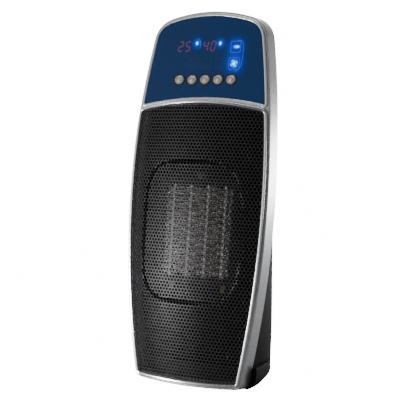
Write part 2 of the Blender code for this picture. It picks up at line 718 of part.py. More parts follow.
def duct_mesh(count=36):
    bm = bmesh.new()
    loops = []
    stations = [(duct_front, 0), ((duct_front + duct_waist) / 2, 0.5), (duct_waist, 1),
                (duct_end, 1)]
    inside = [(depth, share, 0.0) for depth, share in stations]
    outside = [(depth, share, DUCT_WALL) for depth, share in reversed(stations)]
    for depth, share, grow in inside + outside:
        loops.append([bm.verts.new((p.x, depth, p.y)) for p in duct_loop(count, grow, share)])
    for a, b in zip(loops, loops[1:] + loops[:1]):
        for i in range(count):
            j = (i + 1) % count
            bm.faces.new((a[i], a[j], b[j], b[i]))
    bmesh.ops.recalc_face_normals(bm, faces=bm.faces)
    return bm


keep(mesh_object("air_duct", duct_mesh(), face), inner_black)

baffle_outline = grown(opening(lambda x: BAFFLE_LOW, lambda x: BAFFLE_HIGH,
                               GRILLE_LOW_CORNER, GRILLE_TOP_CORNER), -BAFFLE_INSET)
baffle = flat_outline("inner_baffle", baffle_outline, BAFFLE_DEPTH, BAFFLE_DEPTH + BAFFLE_THICK,
                      face)
turned_share = (BAFFLE_DEPTH + BAFFLE_THICK - duct_front) / DUCT_TURN
holder_rise = HEATER_HALF_HEIGHT + HEATER_RIM
duct_side = holder_half + (duct_bore + DUCT_WALL - holder_half) * turned_share
duct_rise = holder_rise + (duct_bore + DUCT_WALL - holder_rise) * turned_share
hole_side = max(holder_half, duct_side) + BAFFLE_CLEAR
hole_rise = max(holder_rise, duct_rise) + GAP
baffle_hole = cutter(box("baffle_hole", (-hole_side, 0, HEATER_CENTRE - hole_rise),
                         (hole_side, 2 * BAFFLE_DEPTH, HEATER_CENTRE + hole_rise), face))
keep(combine(baffle, baffle_hole, "DIFFERENCE"), inner_black)

hub_front = duct_waist + FAN_CLEAR
hub_back = hub_front + FAN_HUB_LENGTH
fan_axis = bpy.data.objects.new("fan_axis", None)
fan_axis.parent = face
fan_axis.location = (0, 0, HEATER_CENTRE)
parts.objects.link(fan_axis)
fan = cylinder("fan_impeller", FAN_HUB_RADIUS, (0, hub_front, 0), (0, hub_back, 0), fan_axis)
blade_middle = (hub_front + hub_back) / 2
blade_root = FAN_HUB_RADIUS * 0.85
for number in range(FAN_BLADES):
    blade = box(f"fan_blade_{number}", (blade_root, -FAN_BLADE_THICK / 2, -FAN_BLADE_CHORD / 2),
                (FAN_RADIUS + FAN_CLEAR, FAN_BLADE_THICK / 2, FAN_BLADE_CHORD / 2), fan_axis)
    spin = Matrix.Rotation(2 * math.pi * number / FAN_BLADES, 4, "Y")
    pitch = Matrix.Rotation(math.pi / 2 - FAN_BLADE_PITCH, 4, "X")
    blade.data.transform(Matrix.Translation((0, blade_middle, 0)) @ spin @ pitch)
    combine(fan, cutter(blade), "UNION")
fan_round = cutter(cylinder("fan_round", FAN_RADIUS, (0, hub_front - GAP, 0),
                            (0, hub_back + GAP, 0), fan_axis, sides=48))
combine(fan, fan_round, "INTERSECT")
shaft_hole = cutter(cylinder("shaft_hole", SHAFT_RADIUS + GAP, (0, hub_front + SHAFT_SEAT, 0),
                             (0, hub_back + FAN_HUB_LENGTH, 0), fan_axis, sides=16))
combine(fan, shaft_hole, "DIFFERENCE")
keep(fan, fan_plastic)

bracket_front = duct_end + GAP
bracket_back = bracket_front + BRACKET_THICK
motor_front = bracket_back + GAP
motor_back = motor_front + MOTOR_LENGTH
keep(cylinder("motor_shaft", SHAFT_RADIUS, (0, hub_front + SHAFT_SEAT + GAP, 0),
              (0, motor_back + SHAFT_TAIL, 0), fan_axis, sides=16), steel)
arm_reach = duct_bore + DUCT_WALL
bracket = cylinder("motor_bracket", MOTOR_RADIUS * 0.7, (0, bracket_front, HEATER_CENTRE),
                   (0, bracket_back, HEATER_CENTRE), face)
for number, turn in enumerate((math.pi / 4, -math.pi / 4)):
    arm = box(f"bracket_arm_{number}", (-arm_reach, bracket_front, -BRACKET_ARM / 2),
              (arm_reach, bracket_back, BRACKET_ARM / 2), face)
    arm.data.transform(Matrix.Translation((0, 0, HEATER_CENTRE)) @ Matrix.Rotation(turn, 4, "Y"))
    combine(bracket, cutter(arm), "UNION")
bore = cutter(cylinder("shaft_bore", SHAFT_RADIUS + SHAFT_CLEAR, (0, duct_front, HEATER_CENTRE),
                       (0, motor_back + MOTOR_LENGTH, HEATER_CENTRE), face, sides=16))
keep(combine(bracket, bore, "DIFFERENCE"), steel)
motor = cylinder("motor_body", MOTOR_RADIUS, (0, motor_front, HEATER_CENTRE),
                 (0, motor_back, HEATER_CENTRE), face)
keep(combine(motor, bore, "DIFFERENCE"), motor_steel)


# ---------------------------------------------------------------- rear housing
def plan(half, centre, back, power, front, inset, count=16, round_front=0.0):
    """Closed plan outline seen from above: a straight front and a swollen back."""
    half, back, front = half - inset, back - inset, front + inset
    corner = max(round_front - inset, 0.0)
    points = []
    for i in range(count + 1):
        angle = math.pi * i / count
        c, s = math.cos(angle), math.sin(angle)
        points.append(Vector((half * math.copysign(abs(c) ** (2 / power), c),
                              centre + (back - centre) * abs(s) ** (2 / power))))
    for side in (-1, 1):
        start = Vector((side * half, front + corner))
        end = Vector((side * (half - corner), front))
        turn = [start, *bend(start, Vector((side * half, front)), end, 5), end]
        points += turn if side < 0 else reversed(turn)
    return points


def housing_plan(inset):
    return plan(PLAN_HALF_WIDTH, PLAN_CENTRE, PLAN_BACK, PLAN_POWER, -PLAN_CENTRE, inset)


def wall_back(x, inset):
    """Depth on the floor of the housing's rear wall at x, an inset inside its skin."""
    share = min(abs(x) / (PLAN_HALF_WIDTH - inset), 1.0)
    return PLAN_CENTRE + (PLAN_BACK - PLAN_CENTRE - inset) * (
        1 - share ** PLAN_POWER) ** (1 / PLAN_POWER)


def behind_frame(name, clearance):
    """Everything in front of the frame's rear edge, as a block to cut away."""
    half = 1.2 * HALF_WIDTH
    return face_slab(name, half, -FACE_LENGTH / 4, FACE_LENGTH * 1.2,
                     lambda x, s: -4 * BULGE,
                     lambda x, s: seat_surface(x, s) + BAND_DEPTH + clearance, face,
                     across=24, up=32)


# The frame's own room, with its clearance, which the housing and the foot are fitted round.
room_edge = BAND_DEPTH + GAP
frame_room = cutter(swept_ring("frame_room", whole_face,
                               [(-LIP_REACH - GAP, -4 * BULGE), (FRAME_ROOM_REACH, -4 * BULGE),
                                (FRAME_ROOM_REACH, room_edge), (-LIP_REACH - GAP, room_edge)],
                               frame_surface, face))


def side_profile(name, inset):
    """The housing seen from the side: an upright back that rounds over at the top."""
    back = PLAN_BACK - inset
    centre = Vector((back - SHOULDER_LENGTH, SHOULDER_TOP - inset - SHOULDER_HEIGHT))
    points = [Vector((-PLAN_BACK, 0)), Vector((back, 0))]
    for i in range(9):
        angle = math.pi / 2 * i / 8
        points.append(centre + Vector((SHOULDER_LENGTH * math.cos(angle),
                                       SHOULDER_HEIGHT * math.sin(angle))))
    points.append(Vector((-PLAN_BACK, SHOULDER_TOP - inset)))
    shape = flat_outline(name, points, -HALF_WIDTH * 1.3, HALF_WIDTH * 1.3, assembly)
    shape.data.transform(Matrix.Rotation(math.pi / 2, 4, "Z"))
    return cutter(shape)


housing_side = band_edge + BAND_FLARE - HOUSING_INSET
housing_low = FOOT_HEIGHT + GAP
housing_reach = 2 * PLAN_BACK
housing = flat_outline("rear_housing", grown(whole_face, housing_side), 0, housing_reach, face)
outer_plan = cutter(flat_outline("housing_plan", housing_plan(0), housing_low, FACE_LENGTH * 1.2,
                                 assembly, upright=True))
room = cutter(flat_outline("housing_room", grown(whole_face, housing_side - SHELL), 0,
                           housing_reach, face))
room_plan = cutter(flat_outline("housing_room_plan", housing_plan(SHELL), housing_low + SHELL,
                                FACE_LENGTH * 1.2, assembly, upright=True))
combine(room, room_plan, "INTERSECT")
combine(room, side_profile("room_side", SHELL), "INTERSECT")
combine(housing, outer_plan, "INTERSECT")
combine(housing, side_profile("housing_side", 0), "INTERSECT")
combine(housing, cutter(behind_frame("frame_seat", 0)), "DIFFERENCE")
combine(housing, frame_room, "DIFFERENCE")
combine(housing, room, "DIFFERENCE")


def many_boxes(name, boxes, parent):
    bm = bmesh.new()
    for low, high in boxes:
        made = bmesh.ops.create_cube(bm, size=1.0)["verts"]
        for vert in made:
            for axis in range(3):
                vert.co[axis] = high[axis] if vert.co[axis] > 0 else low[axis]
    return cutter(mesh_object(name, bm, parent))


vents = []
for row in range(VENT_COUNT):
    z = VENT_CENTRE + (row - (VENT_COUNT - 1) / 2) * VENT_PITCH
    for left, right in ((-VENT_HALF_WIDTH, -SHELL), (SHELL, VENT_HALF_WIDTH)):
        vents.append(((left, PLAN_BACK * 0.75, z - VENT_HEIGHT / 2),
                      (right, PLAN_BACK * 1.2, z + VENT_HEIGHT / 2)))
combine(housing, many_boxes("vents", vents, assembly), "DIFFERENCE")


def turned(name, profile, place, direction, parent, steps=24):
    """A turned piece: its profile runs down the outer side, local +Z along direction."""
    bm = bmesh.new()
    verts = [bm.verts.new((radius, 0, height)) for radius, height in profile]
    for a, b in zip(verts, verts[1:]):
        bm.edges.new((a, b))
    obj = mesh_object(name, bm, parent)
    mod = obj.modifiers.new("turn", "SCREW")
    mod.steps = steps
    mod.render_steps = steps
    mod.use_merge_vertices = True
    mod.merge_threshold = 0.00001
    obj.location = place
    obj.rotation_euler = Vector((0, 0, 1)).rotation_difference(Vector(direction)).to_euler()
    return obj


def screw(name, seat, direction):
    """A pan-head screw whose head rests on seat and whose shank points back from it."""
    slot = SCREW_HEAD_RADIUS * 0.35
    profile = [(0, SCREW_HEAD * 0.6), (slot, SCREW_HEAD * 0.6), (slot, SCREW_HEAD),
               (SCREW_HEAD_RADIUS * 0.8, SCREW_HEAD), (SCREW_HEAD_RADIUS, SCREW_HEAD * 0.5),
               (SCREW_HEAD_RADIUS, GAP), (SCREW_RADIUS, GAP), (SCREW_RADIUS, -SCREW_LENGTH),
               (0, -SCREW_LENGTH - SCREW_RADIUS)]
    return keep(turned(name, profile, seat, direction, assembly, steps=16), steel)


boss_radius = SCREW_HEAD_RADIUS + GAP + SHELL * 0.8
pocket_radius = SCREW_HEAD_RADIUS + 2 * GAP
bore_radius = SCREW_RADIUS + GAP
number = 0
for height in REAR_SCREW_HEIGHTS:
    for side in (-1, 1):
        number += 1
        x = side * REAR_SCREW_ACROSS
        skin = wall_back(abs(x) + boss_radius, 0)
        seat = skin - SHELL
        boss = cutter(cylinder(f"rear_boss_{number}", boss_radius,
                               (x, seat - SCREW_LENGTH * 0.6, height),
                               (x, skin - SHELL * 0.3, height), assembly, sides=24))
        pocket = cutter(cylinder(f"rear_pocket_{number}", pocket_radius, (x, seat, height),
                                 (x, PLAN_BACK * 1.2, height), assembly, sides=24))
        bore_hole = cutter(cylinder(f"rear_bore_{number}", bore_radius,
                                    (x, seat - SCREW_LENGTH * 2, height),
                                    (x, seat + SHELL, height), assembly, sides=16))
        combine(housing, boss, "UNION")
        combine(housing, pocket, "DIFFERENCE")
        combine(housing, bore_hole, "DIFFERENCE")
        screw(f"rear_screw_{number}", (x, seat, height), (0, 1, 0))

# Foot screws pass up through pillars in the foot into blind bosses on the housing's floor.
pillar_seat = FOOT_HEIGHT * 0.6
foot_screw_places = [(side * FOOT_SCREW_ACROSS, depth)
                     for depth in FOOT_SCREW_DEPTHS for side in (-1, 1)]
foot_cuts = []
foot_pillars = []
boss_top = housing_low + SHELL + SCREW_LENGTH * 0.7
for number, (x, y) in enumerate(foot_screw_places, 1):
    boss = cutter(cylinder(f"floor_boss_{number}", boss_radius,
                           (x, y, housing_low + SHELL / 2), (x, y, boss_top), assembly, sides=24))
    blind = cutter(cylinder(f"floor_bore_{number}", bore_radius, (x, y, 0),
                            (x, y, boss_top - SHELL / 2), assembly, sides=16))
    combine(housing, boss, "UNION")
    combine(housing, blind, "DIFFERENCE")
    foot_pillars.append(cutter(cylinder(f"foot_pillar_{number}", boss_radius,
                                        (x, y, PAD_STAND + FOOT_FLOOR / 4), (x, y, FOOT_HEIGHT),
                                        assembly, sides=24)))
    foot_cuts.append(cutter(cylinder(f"foot_pocket_{number}", pocket_radius, (x, y, -SHELL),
                                     (x, y, pillar_seat), assembly, sides=24)))
    foot_cuts.append(blind)
    screw(f"foot_screw_{number}", (x, y, pillar_seat), (0, 0, -1))

# Power rocker and cord inlet on the rear wall
rocker_half_x = ROCKER_WIDTH / 2 + ROCKER_WALL
rocker_half_z = ROCKER_HEIGHT / 2 + ROCKER_WALL
rocker_skin = wall_back(ROCKER_PLACE - rocker_half_x, 0) + ROCKER_WALL / 2
rocker_room = cutter(box("rocker_room",
                         (ROCKER_PLACE - rocker_half_x - GAP, 0.5 * PLAN_BACK,
                          ROCKER_RISE - rocker_half_z - GAP),
                         (ROCKER_PLACE + rocker_half_x + GAP, 1.2 * PLAN_BACK,
                          ROCKER_RISE + rocker_half_z + GAP), assembly))
combine(housing, rocker_room, "DIFFERENCE")
rocker_body = box("power_switch_body",
                  (ROCKER_PLACE - rocker_half_x, rocker_skin - 2 * ROCKER_DEPTH,
                   ROCKER_RISE - rocker_half_z),
                  (ROCKER_PLACE + rocker_half_x, rocker_skin, ROCKER_RISE + rocker_half_z),
                  assembly)
well = cutter(box("rocker_well",
                  (ROCKER_PLACE - ROCKER_WIDTH / 2, rocker_skin - ROCKER_DEPTH,
                   ROCKER_RISE - ROCKER_HEIGHT / 2),
                  (ROCKER_PLACE + ROCKER_WIDTH / 2, rocker_skin + ROCKER_DEPTH,
                   ROCKER_RISE + ROCKER_HEIGHT / 2), assembly))
keep(combine(rocker_body, well, "DIFFERENCE"), inner_black)

rocker_tip = ROCKER_HEIGHT / 2 - ROCKER_CLEAR
rocker_end = rocker_tip * 0.88
keel_end = rocker_tip * 0.62
rocker_profile = [(-keel_end, -ROCKER_KEEL[0]), (0, -ROCKER_KEEL[1]), (keel_end, -ROCKER_KEEL[0]),
                  (rocker_end, ROCKER_FACE[0]), (0, ROCKER_FACE[1]), (-rocker_end, ROCKER_FACE[0])]
rocker = flat_outline("power_rocker", [Vector(point) for point in rocker_profile],
                      -ROCKER_WIDTH / 2 + ROCKER_CLEAR, ROCKER_WIDTH / 2 - ROCKER_CLEAR,
                      assembly, upright=True)
rocker.data.transform(Matrix.Rotation(-math.pi / 2, 4, "Y"))
rocker.location = (ROCKER_PLACE, rocker_skin - ROCKER_DEPTH / 2, ROCKER_RISE)
rocker.rotation_euler = (-ROCKER_TILT, 0, 0)
keep(rocker, black_case)

bush_skin = wall_back(abs(BUSH_PLACE) - BUSH_RADIUS, 0)
bush_hole = cutter(cylinder("bush_hole", BUSH_RADIUS + GAP, (BUSH_PLACE, PLAN_BACK / 2, BUSH_RISE),
                            (BUSH_PLACE, PLAN_BACK * 1.2, BUSH_RISE), assembly, sides=32))
combine(housing, bush_hole, "DIFFERENCE")
bush_profile = [(CORD_HOLE_RADIUS, BUSH_FLANGE), (BUSH_RADIUS, BUSH_FLANGE),
                (BUSH_RADIUS, -BUSH_LENGTH), (CORD_HOLE_RADIUS, -BUSH_LENGTH),
                (CORD_HOLE_RADIUS, BUSH_FLANGE)]
keep(turned("cord_inlet_bush", bush_profile, (BUSH_PLACE, bush_skin, BUSH_RISE), (0, 1, 0),
            assembly), rubber)
keep(housing, black_case)

filter_inset = SHELL + 2 * GAP
filter_xs = [FILTER_HALF_WIDTH * (i / 8 - 1) for i in range(17)]
filter_curve = [Vector((x, wall_back(x, filter_inset + FILTER_THICK))) for x in filter_xs]
filter_curve += [Vector((x, wall_back(x, filter_inset))) for x in reversed(filter_xs)]
vent_reach = VENT_COUNT * VENT_PITCH / 2
keep(flat_outline("dust_filter", filter_curve, VENT_CENTRE - vent_reach,
                  VENT_CENTRE + vent_reach, assembly, upright=True), filter_grey)


# ---------------------------------------------------------------- foot
def foot_plan(inset):
    return plan(FOOT_HALF_WIDTH, FOOT_CENTRE, PLAN_BACK, FOOT_POWER, FOOT_FRONT, inset,
                round_front=FOOT_FRONT_CORNER)


def stacked(name, layers, parent):
    """A closed stack of plan outlines, each given as (height, outline)."""
    bm = bmesh.new()
    loops = [[bm.verts.new((p.x, p.y, z)) for p in outline] for z, outline in layers]
    for a, b in zip(loops, loops[1:]):
        for i in range(len(a)):
            j = (i + 1) % len(a)
            bm.faces.new((a[i], a[j], b[j], b[i]))
    bm.faces.new(loops[0])
    bm.faces.new(loops[-1])
    bmesh.ops.recalc_face_normals(bm, faces=bm.faces)
    return mesh_object(name, bm, parent)


foot = stacked("foot", [(PAD_STAND, foot_plan(FOOT_CHAMFER)),
                        (FOOT_CHAMFER_HEIGHT, foot_plan(0)), (FOOT_HEIGHT, foot_plan(0))],
               assembly)
floor_share = 1 - (FOOT_FLOOR - PAD_STAND) / (FOOT_CHAMFER_HEIGHT - PAD_STAND)
foot_room = stacked("foot_room",
                    [(FOOT_FLOOR, foot_plan(FOOT_CHAMFER * floor_share + SHELL)),
                     (FOOT_CHAMFER_HEIGHT, foot_plan(SHELL)),
                     (FOOT_HEIGHT * 2, foot_plan(SHELL))], assembly)
combine(cutter(foot_room), cutter(behind_frame("foot_front_wall", SHELL)), "DIFFERENCE")
combine(foot, cutter(behind_frame("foot_front", 0)), "DIFFERENCE")
combine(foot, frame_room, "DIFFERENCE")
combine(foot, foot_room, "DIFFERENCE")
for pillar in foot_pillars:
    combine(foot, pillar, "UNION")
for cut in foot_cuts:
    combine(foot, cut, "DIFFERENCE")
number = 0
for y in (PAD_FRONT, PAD_BACK):
    for side in (-1, 1):
        number += 1
        x = side * PAD_SPREAD
        pocket = cutter(cylinder(f"pad_pocket_{number}", PAD_RADIUS + GAP, (x, y, -PAD_STAND),
                                 (x, y, PAD_STAND + PAD_SINK), assembly, sides=24))
        combine(foot, pocket, "DIFFERENCE")
        keep(cylinder(f"foot_pad_{number}", PAD_RADIUS, (x, y, 0),
                      (x, y, PAD_STAND + PAD_SINK - GAP), assembly, sides=24), rubber)
plunger_hole = cutter(cylinder("plunger_hole", PLUNGER_RADIUS + PLUNGER_CLEAR,
                               (0, PLUNGER_PLACE, -PAD_STAND),
                               (0, PLUNGER_PLACE, FOOT_FLOOR * 2), assembly, sides=24))
combine(foot, plunger_hole, "DIFFERENCE")
keep(foot, black_case)

flange_low = FOOT_FLOOR + PLUNGER_TRAVEL + GAP
flange_high = flange_low + PLUNGER_FLANGE
plunger_profile = [(0, flange_high), (PLUNGER_FLANGE_RADIUS, flange_high),
                   (PLUNGER_FLANGE_RADIUS, flange_low), (PLUNGER_RADIUS, flange_low),
                   (PLUNGER_RADIUS, PLUNGER_RADIUS * 0.4), (PLUNGER_RADIUS * 0.6, GAP), (0, GAP)]
keep(turned("tip_plunger", plunger_profile, (0, PLUNGER_PLACE, 0), (0, 0, 1), assembly),
     inner_white)
tip_half = TIP_BOX * 0.75
tip_switch = box("tip_switch", (-tip_half, PLUNGER_PLACE - TIP_BOX / 2, FOOT_FLOOR + GAP),
                 (tip_half, PLUNGER_PLACE + TIP_BOX / 2, FOOT_HEIGHT - 2 * GAP), assembly)
tunnel = cutter(box("tip_tunnel",
                    (-PLUNGER_FLANGE_RADIUS - GAP, PLUNGER_PLACE - TIP_BOX, 0),
                    (PLUNGER_FLANGE_RADIUS + GAP, PLUNGER_PLACE + TIP_BOX, flange_high + GAP),
                    assembly))
keep(combine(tip_switch, tunnel, "DIFFERENCE"), inner_black)

# ---------------------------------------------------------------- power board
board_back = POWER_BOARD_DEPTH + BOARD_THICK
keep(box("power_board", (-POWER_BOARD_HALF_WIDTH, POWER_BOARD_DEPTH, POWER_BOARD_LOW),
         (POWER_BOARD_HALF_WIDTH, board_back, POWER_BOARD_HIGH), face), board_green)
relay_left = -POWER_BOARD_HALF_WIDTH + RELAY_SIZE[0] / 2
relay_low = POWER_BOARD_LOW + RELAY_SIZE[0] / 2
keep(box("relay", (relay_left, POWER_BOARD_DEPTH - GAP - RELAY_SIZE[1], relay_low),
         (relay_left + RELAY_SIZE[0], POWER_BOARD_DEPTH - GAP, relay_low + RELAY_SIZE[2]), face),
     inner_black)
capacitor_place = (POWER_BOARD_HALF_WIDTH / 2, POWER_BOARD_DEPTH - GAP,
                   (POWER_BOARD_LOW + POWER_BOARD_HIGH) / 2)
keep(cylinder("capacitor", CAPACITOR_RADIUS, capacitor_place,
              (capacitor_place[0], capacitor_place[1] - CAPACITOR_LENGTH, capacitor_place[2]),
              face, sides=24), inner_black)
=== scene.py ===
"""The looks of a tower ceramic heater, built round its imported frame.

The sections follow the heater as it is put together: silver frame, trim rings, punched grille,
heating element, control window, lit display, buttons, rear housing, foot and inner parts.
Lengths are metres. A place on the leaning face is given as across, into and up the slope.
"""

import math

import bmesh
import bpy
import numpy as np
from mathutils import Matrix, Vector


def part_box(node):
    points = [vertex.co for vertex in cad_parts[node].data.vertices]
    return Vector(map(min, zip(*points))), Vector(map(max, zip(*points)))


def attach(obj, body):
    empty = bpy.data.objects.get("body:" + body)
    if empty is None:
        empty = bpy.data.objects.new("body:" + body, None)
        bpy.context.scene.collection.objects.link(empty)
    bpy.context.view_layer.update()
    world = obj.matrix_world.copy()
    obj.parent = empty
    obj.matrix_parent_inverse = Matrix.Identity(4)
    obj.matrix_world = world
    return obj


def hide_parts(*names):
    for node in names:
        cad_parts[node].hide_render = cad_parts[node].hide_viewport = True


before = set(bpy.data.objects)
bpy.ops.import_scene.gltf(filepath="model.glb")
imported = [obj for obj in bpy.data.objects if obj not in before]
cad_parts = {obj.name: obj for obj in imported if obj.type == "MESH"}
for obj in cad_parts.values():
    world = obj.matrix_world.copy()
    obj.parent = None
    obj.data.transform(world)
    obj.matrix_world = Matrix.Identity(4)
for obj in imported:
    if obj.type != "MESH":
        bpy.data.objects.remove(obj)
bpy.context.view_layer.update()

# ------------------------------------------------------------------ silver front frame
# One painted moulding: a side band with a rounded front edge, a lip that carries the trim
# rings, a rear flange that the housing meets, and a cross bar under the window.
LEAN = math.radians(7.4)
FACE_RISE = 0.0085
DEPTH_SHIFT = 0.0627
FACE_LENGTH = 0.4300
HALF_WIDTH = 0.0874
NARROWING = 0.0220
BOW = 0.0107
BULGE = 0.0129
BULGE_HALF = 0.0860
GRILLE_TOP = 0.3250
WINDOW_BOTTOM = 0.3330
SWELL_FADE = 0.0350
BOTTOM_SAG = 0.0024
TOP_SAG = 0.0116
DIVIDER_SAG = 0.0085
BAND_DEPTH = 0.0225
LIP_FRONT = 0.0033
LIP_BACK = 0.0057
LIP_REACH = 0.0018
BAND_EDGE = 0.0060
BAND_FLARE = 0.0006
BAND_INSIDE = 0.0036         # inner side of the band's wall
FLANGE_FRONT = 0.0205        # front of the rear flange that the housing meets
BOTTOM_ROUND = 0.0022        # rounding of the opening's corners, low and high
TOP_ROUND = 0.0150
WIDEST = FACE_LENGTH / 2


def on_face(x, depth, s):
    """Where a point of the leaning face stands, from its place across, into and up it."""
    y = s * math.sin(LEAN) + depth * math.cos(LEAN) - DEPTH_SHIFT
    z = s * math.cos(LEAN) - depth * math.sin(LEAN) + FACE_RISE
    return x, y, z


def half_width(s):
    return HALF_WIDTH - NARROWING * ((s - WIDEST) / WIDEST) ** 2


def bow(s):
    """Depth of the face: a slow arc up the grille, then straight on along the window."""
    s_line = np.minimum(s, GRILLE_TOP)
    slope = 2 * BOW * (s_line - WIDEST) / WIDEST ** 2
    return BOW * ((s_line - WIDEST) / WIDEST) ** 2 + slope * (s - s_line)


def grille_surface(x, s):
    return bow(s) - BULGE * (1 - (x / BULGE_HALF) ** 2)


def window_surface(x, s):
    return bow(s)


def frame_surface(x, s):
    """The grille's swell, which dies out just below the window."""
    fade = np.clip((GRILLE_TOP - s) / SWELL_FADE, 0.0, 1.0)
    fade = fade * fade * (3 - 2 * fade)
    return fade * grille_surface(x, s) + (1 - fade) * window_surface(x, s)


def bottom_edge(x):
    return BOTTOM_SAG * (x / half_width(0.0)) ** 2


def grille_top_edge(x):
    return GRILLE_TOP - DIVIDER_SAG * (x / half_width(GRILLE_TOP)) ** 2


def window_bottom_edge(x):
    return WINDOW_BOTTOM - DIVIDER_SAG * (x / half_width(WINDOW_BOTTOM)) ** 2


def top_edge(x):
    return FACE_LENGTH - TOP_SAG * (x / half_width(FACE_LENGTH)) ** 2


def bend(start, corner, end, steps):
    """The points of a rounded corner, without its two ends."""
    shares = np.arange(1, steps)[:, None] / steps
    return start * (1 - shares) ** 2 + corner * 2 * shares * (1 - shares) + end * shares ** 2


def opening(low_edge, high_edge, low_round, high_round, across=48, up=120, turn=10):
    """Closed outline of an opening in the face, anticlockwise from its bottom left."""
    corners = []
    for edge in (low_edge, high_edge):
        x = HALF_WIDTH
        for _ in range(20):                      # settles where the edge meets the side
            x = half_width(edge(x))
        corners.append(np.array((x, edge(x))))
    low, high = corners
    s = np.linspace(low[1] + low_round, high[1] - high_round, up + 1)
    right = np.stack([half_width(s), s], 1)
    x = np.linspace(-(low[0] - low_round), low[0] - low_round, across + 1)
    bottom = np.stack([x, low_edge(x)], 1)
    x = np.linspace(high[0] - high_round, -(high[0] - high_round), across + 1)
    top = np.stack([x, high_edge(x)], 1)
    low_turn = bend(bottom[-1], low, right[0], turn)
    high_turn = bend(right[-1], high, top[0], turn)
    mirror = np.array((-1.0, 1.0))
    return np.concatenate([bottom, low_turn, right, high_turn, top, high_turn[::-1] * mirror,
                           right[::-1] * mirror, low_turn[::-1] * mirror])


def outward(outline):
    along = np.roll(outline, -1, 0) - np.roll(outline, 1, 0)
    normals = np.stack([along[:, 1], -along[:, 0]], 1)
    return normals / np.linalg.norm(normals, axis=1)[:, None]


def filleted(corners, steps=5):
    """A closed section whose corners, each (out, depth, radius), are rounded."""
    count = len(corners)
    places = [np.array(c[:2]) for c in corners]
    section = []
    for i, (_, _, radius) in enumerate(corners):
        before = places[i - 1] - places[i]
        after = places[(i + 1) % count] - places[i]
        start = places[i] + before / np.linalg.norm(before) * radius
        end = places[i] + after / np.linalg.norm(after) * radius
        section += [start, *bend(start, places[i], end, steps), end]
    return np.array(section)


SMOOTH_UNDER = math.radians(32)                  # edges that turn less are shaded smooth
SAME_POINT = 1e-7


def mesh_of(name, verts, faces):
    mesh = bpy.data.meshes.new(name)
    mesh.from_pydata(verts, [], faces)
    return mesh


def placed(name, data):
    """A new object of the data, linked into the scene."""
    made = bpy.data.objects.new(name, data)
    bpy.context.scene.collection.objects.link(made)
    return made


def mesh_piece(name, verts, faces, finish, smooth=SMOOTH_UNDER):
    """A mesh object with its place in its vertices, one finish and smooth round shapes."""
    mesh = mesh_of(name, verts, faces)
    mesh.update()
    return finished(placed(name, mesh), finish, smooth)


def finished(piece, finish, smooth=SMOOTH_UNDER):
    """Welds the piece, turns its faces outwards and gives it one finish."""
    mesh = piece.data
    bm = bmesh.new()
    bm.from_mesh(mesh)
    bmesh.ops.remove_doubles(bm, verts=bm.verts, dist=SAME_POINT)
    bmesh.ops.recalc_face_normals(bm, faces=bm.faces)
    bm.to_mesh(mesh)
    bm.free()
    mesh.materials.clear()
    mesh.materials.append(finish)
    mesh.shade_smooth()
    mesh.set_sharp_from_angle(angle=smooth)
    return piece


def ring_faces(rows, columns, close_rows=True, close_columns=True):
    """Quads of a grid of points, closed round either way."""
    faces = []
    for i in range(rows if close_rows else rows - 1):
        for j in range(columns if close_columns else columns - 1):
            a, b = i * columns + j, i * columns + (j + 1) % columns
            c, d = (i + 1) % rows * columns + (j + 1) % columns, (i + 1) % rows * columns + j
            faces.append((a, b, c, d))
    return faces


def capped_faces(rows, columns):
    """Faces of a closed bar: its rows of points joined, and both end rows filled."""
    last = (rows - 1) * columns
    return (ring_faces(rows, columns, close_rows=False)
            + [tuple(range(columns)), tuple(range(last, last + columns))])


def swept(name, outline, section, surface, finish, follow=False):
    """A section of (outward, depth) points carried round an outline on the face.

    Its depth is taken at the outline, or with follow at each of its own points.
    """
    places = outline[:, None, :] + outward(outline)[:, None, :] * section[None, :, :1]
    root = places if follow else np.broadcast_to(outline[:, None, :], places.shape)
    depth = surface(root[..., 0], root[..., 1]) + section[None, :, 1]
    x, y, z = on_face(places[..., 0], depth, places[..., 1])
    verts = np.stack([x, y, z], -1).reshape(-1, 3)
    return mesh_piece(name, verts.tolist(), ring_faces(len(outline), len(section)), finish)


def node(tree, kind, **settings):
    made = tree.nodes.new(kind)
    for key, value in settings.items():
        setattr(made, key, value)
    return made


def wire(tree, start, end):
    tree.links.new(start, end)


def maths(tree, operation, first, second=None):
    """A math node; each side is a socket or a plain number."""
    made = node(tree, "ShaderNodeMath", operation=operation)
    for socket, value in zip(made.inputs, (first, second)):
        if value is None:
            continue
        if isinstance(value, (int, float)):
            socket.default_value = value
        else:
            wire(tree, value, socket)
    return made.outputs[0]


# Every moulded, painted or rolled surface gets its small unevenness from this one group:
# a grain to raise the surface with, and a slow drift to vary its colour and its gloss.
SPECK_SHARE = 0.6            # strength of the fine grain beside the slow drift
surface_grain = bpy.data.node_groups.new("surface_grain", "ShaderNodeTree")
for label, kind in (("Vector", "NodeSocketVector"), ("Grain size", "NodeSocketFloat"),
                    ("Drift size", "NodeSocketFloat"), ("Gloss", "NodeSocketFloat"),
                    ("Gloss spread", "NodeSocketFloat"), ("Colour", "NodeSocketColor"),
                    ("Colour spread", "NodeSocketFloat")):
    surface_grain.interface.new_socket(label, in_out="INPUT", socket_type=kind)
for label, kind in (("Colour", "NodeSocketColor"), ("Roughness", "NodeSocketFloat"),
                    ("Height", "NodeSocketFloat")):
    surface_grain.interface.new_socket(label, in_out="OUTPUT", socket_type=kind)
grain_in = node(surface_grain, "NodeGroupInput")
grain_out = node(surface_grain, "NodeGroupOutput")
fine_noise = node(surface_grain, "ShaderNodeTexNoise")
fine_noise.inputs["Detail"].default_value = 2.0
slow_noise = node(surface_grain, "ShaderNodeTexNoise")
slow_noise.inputs["Detail"].default_value = 4.0
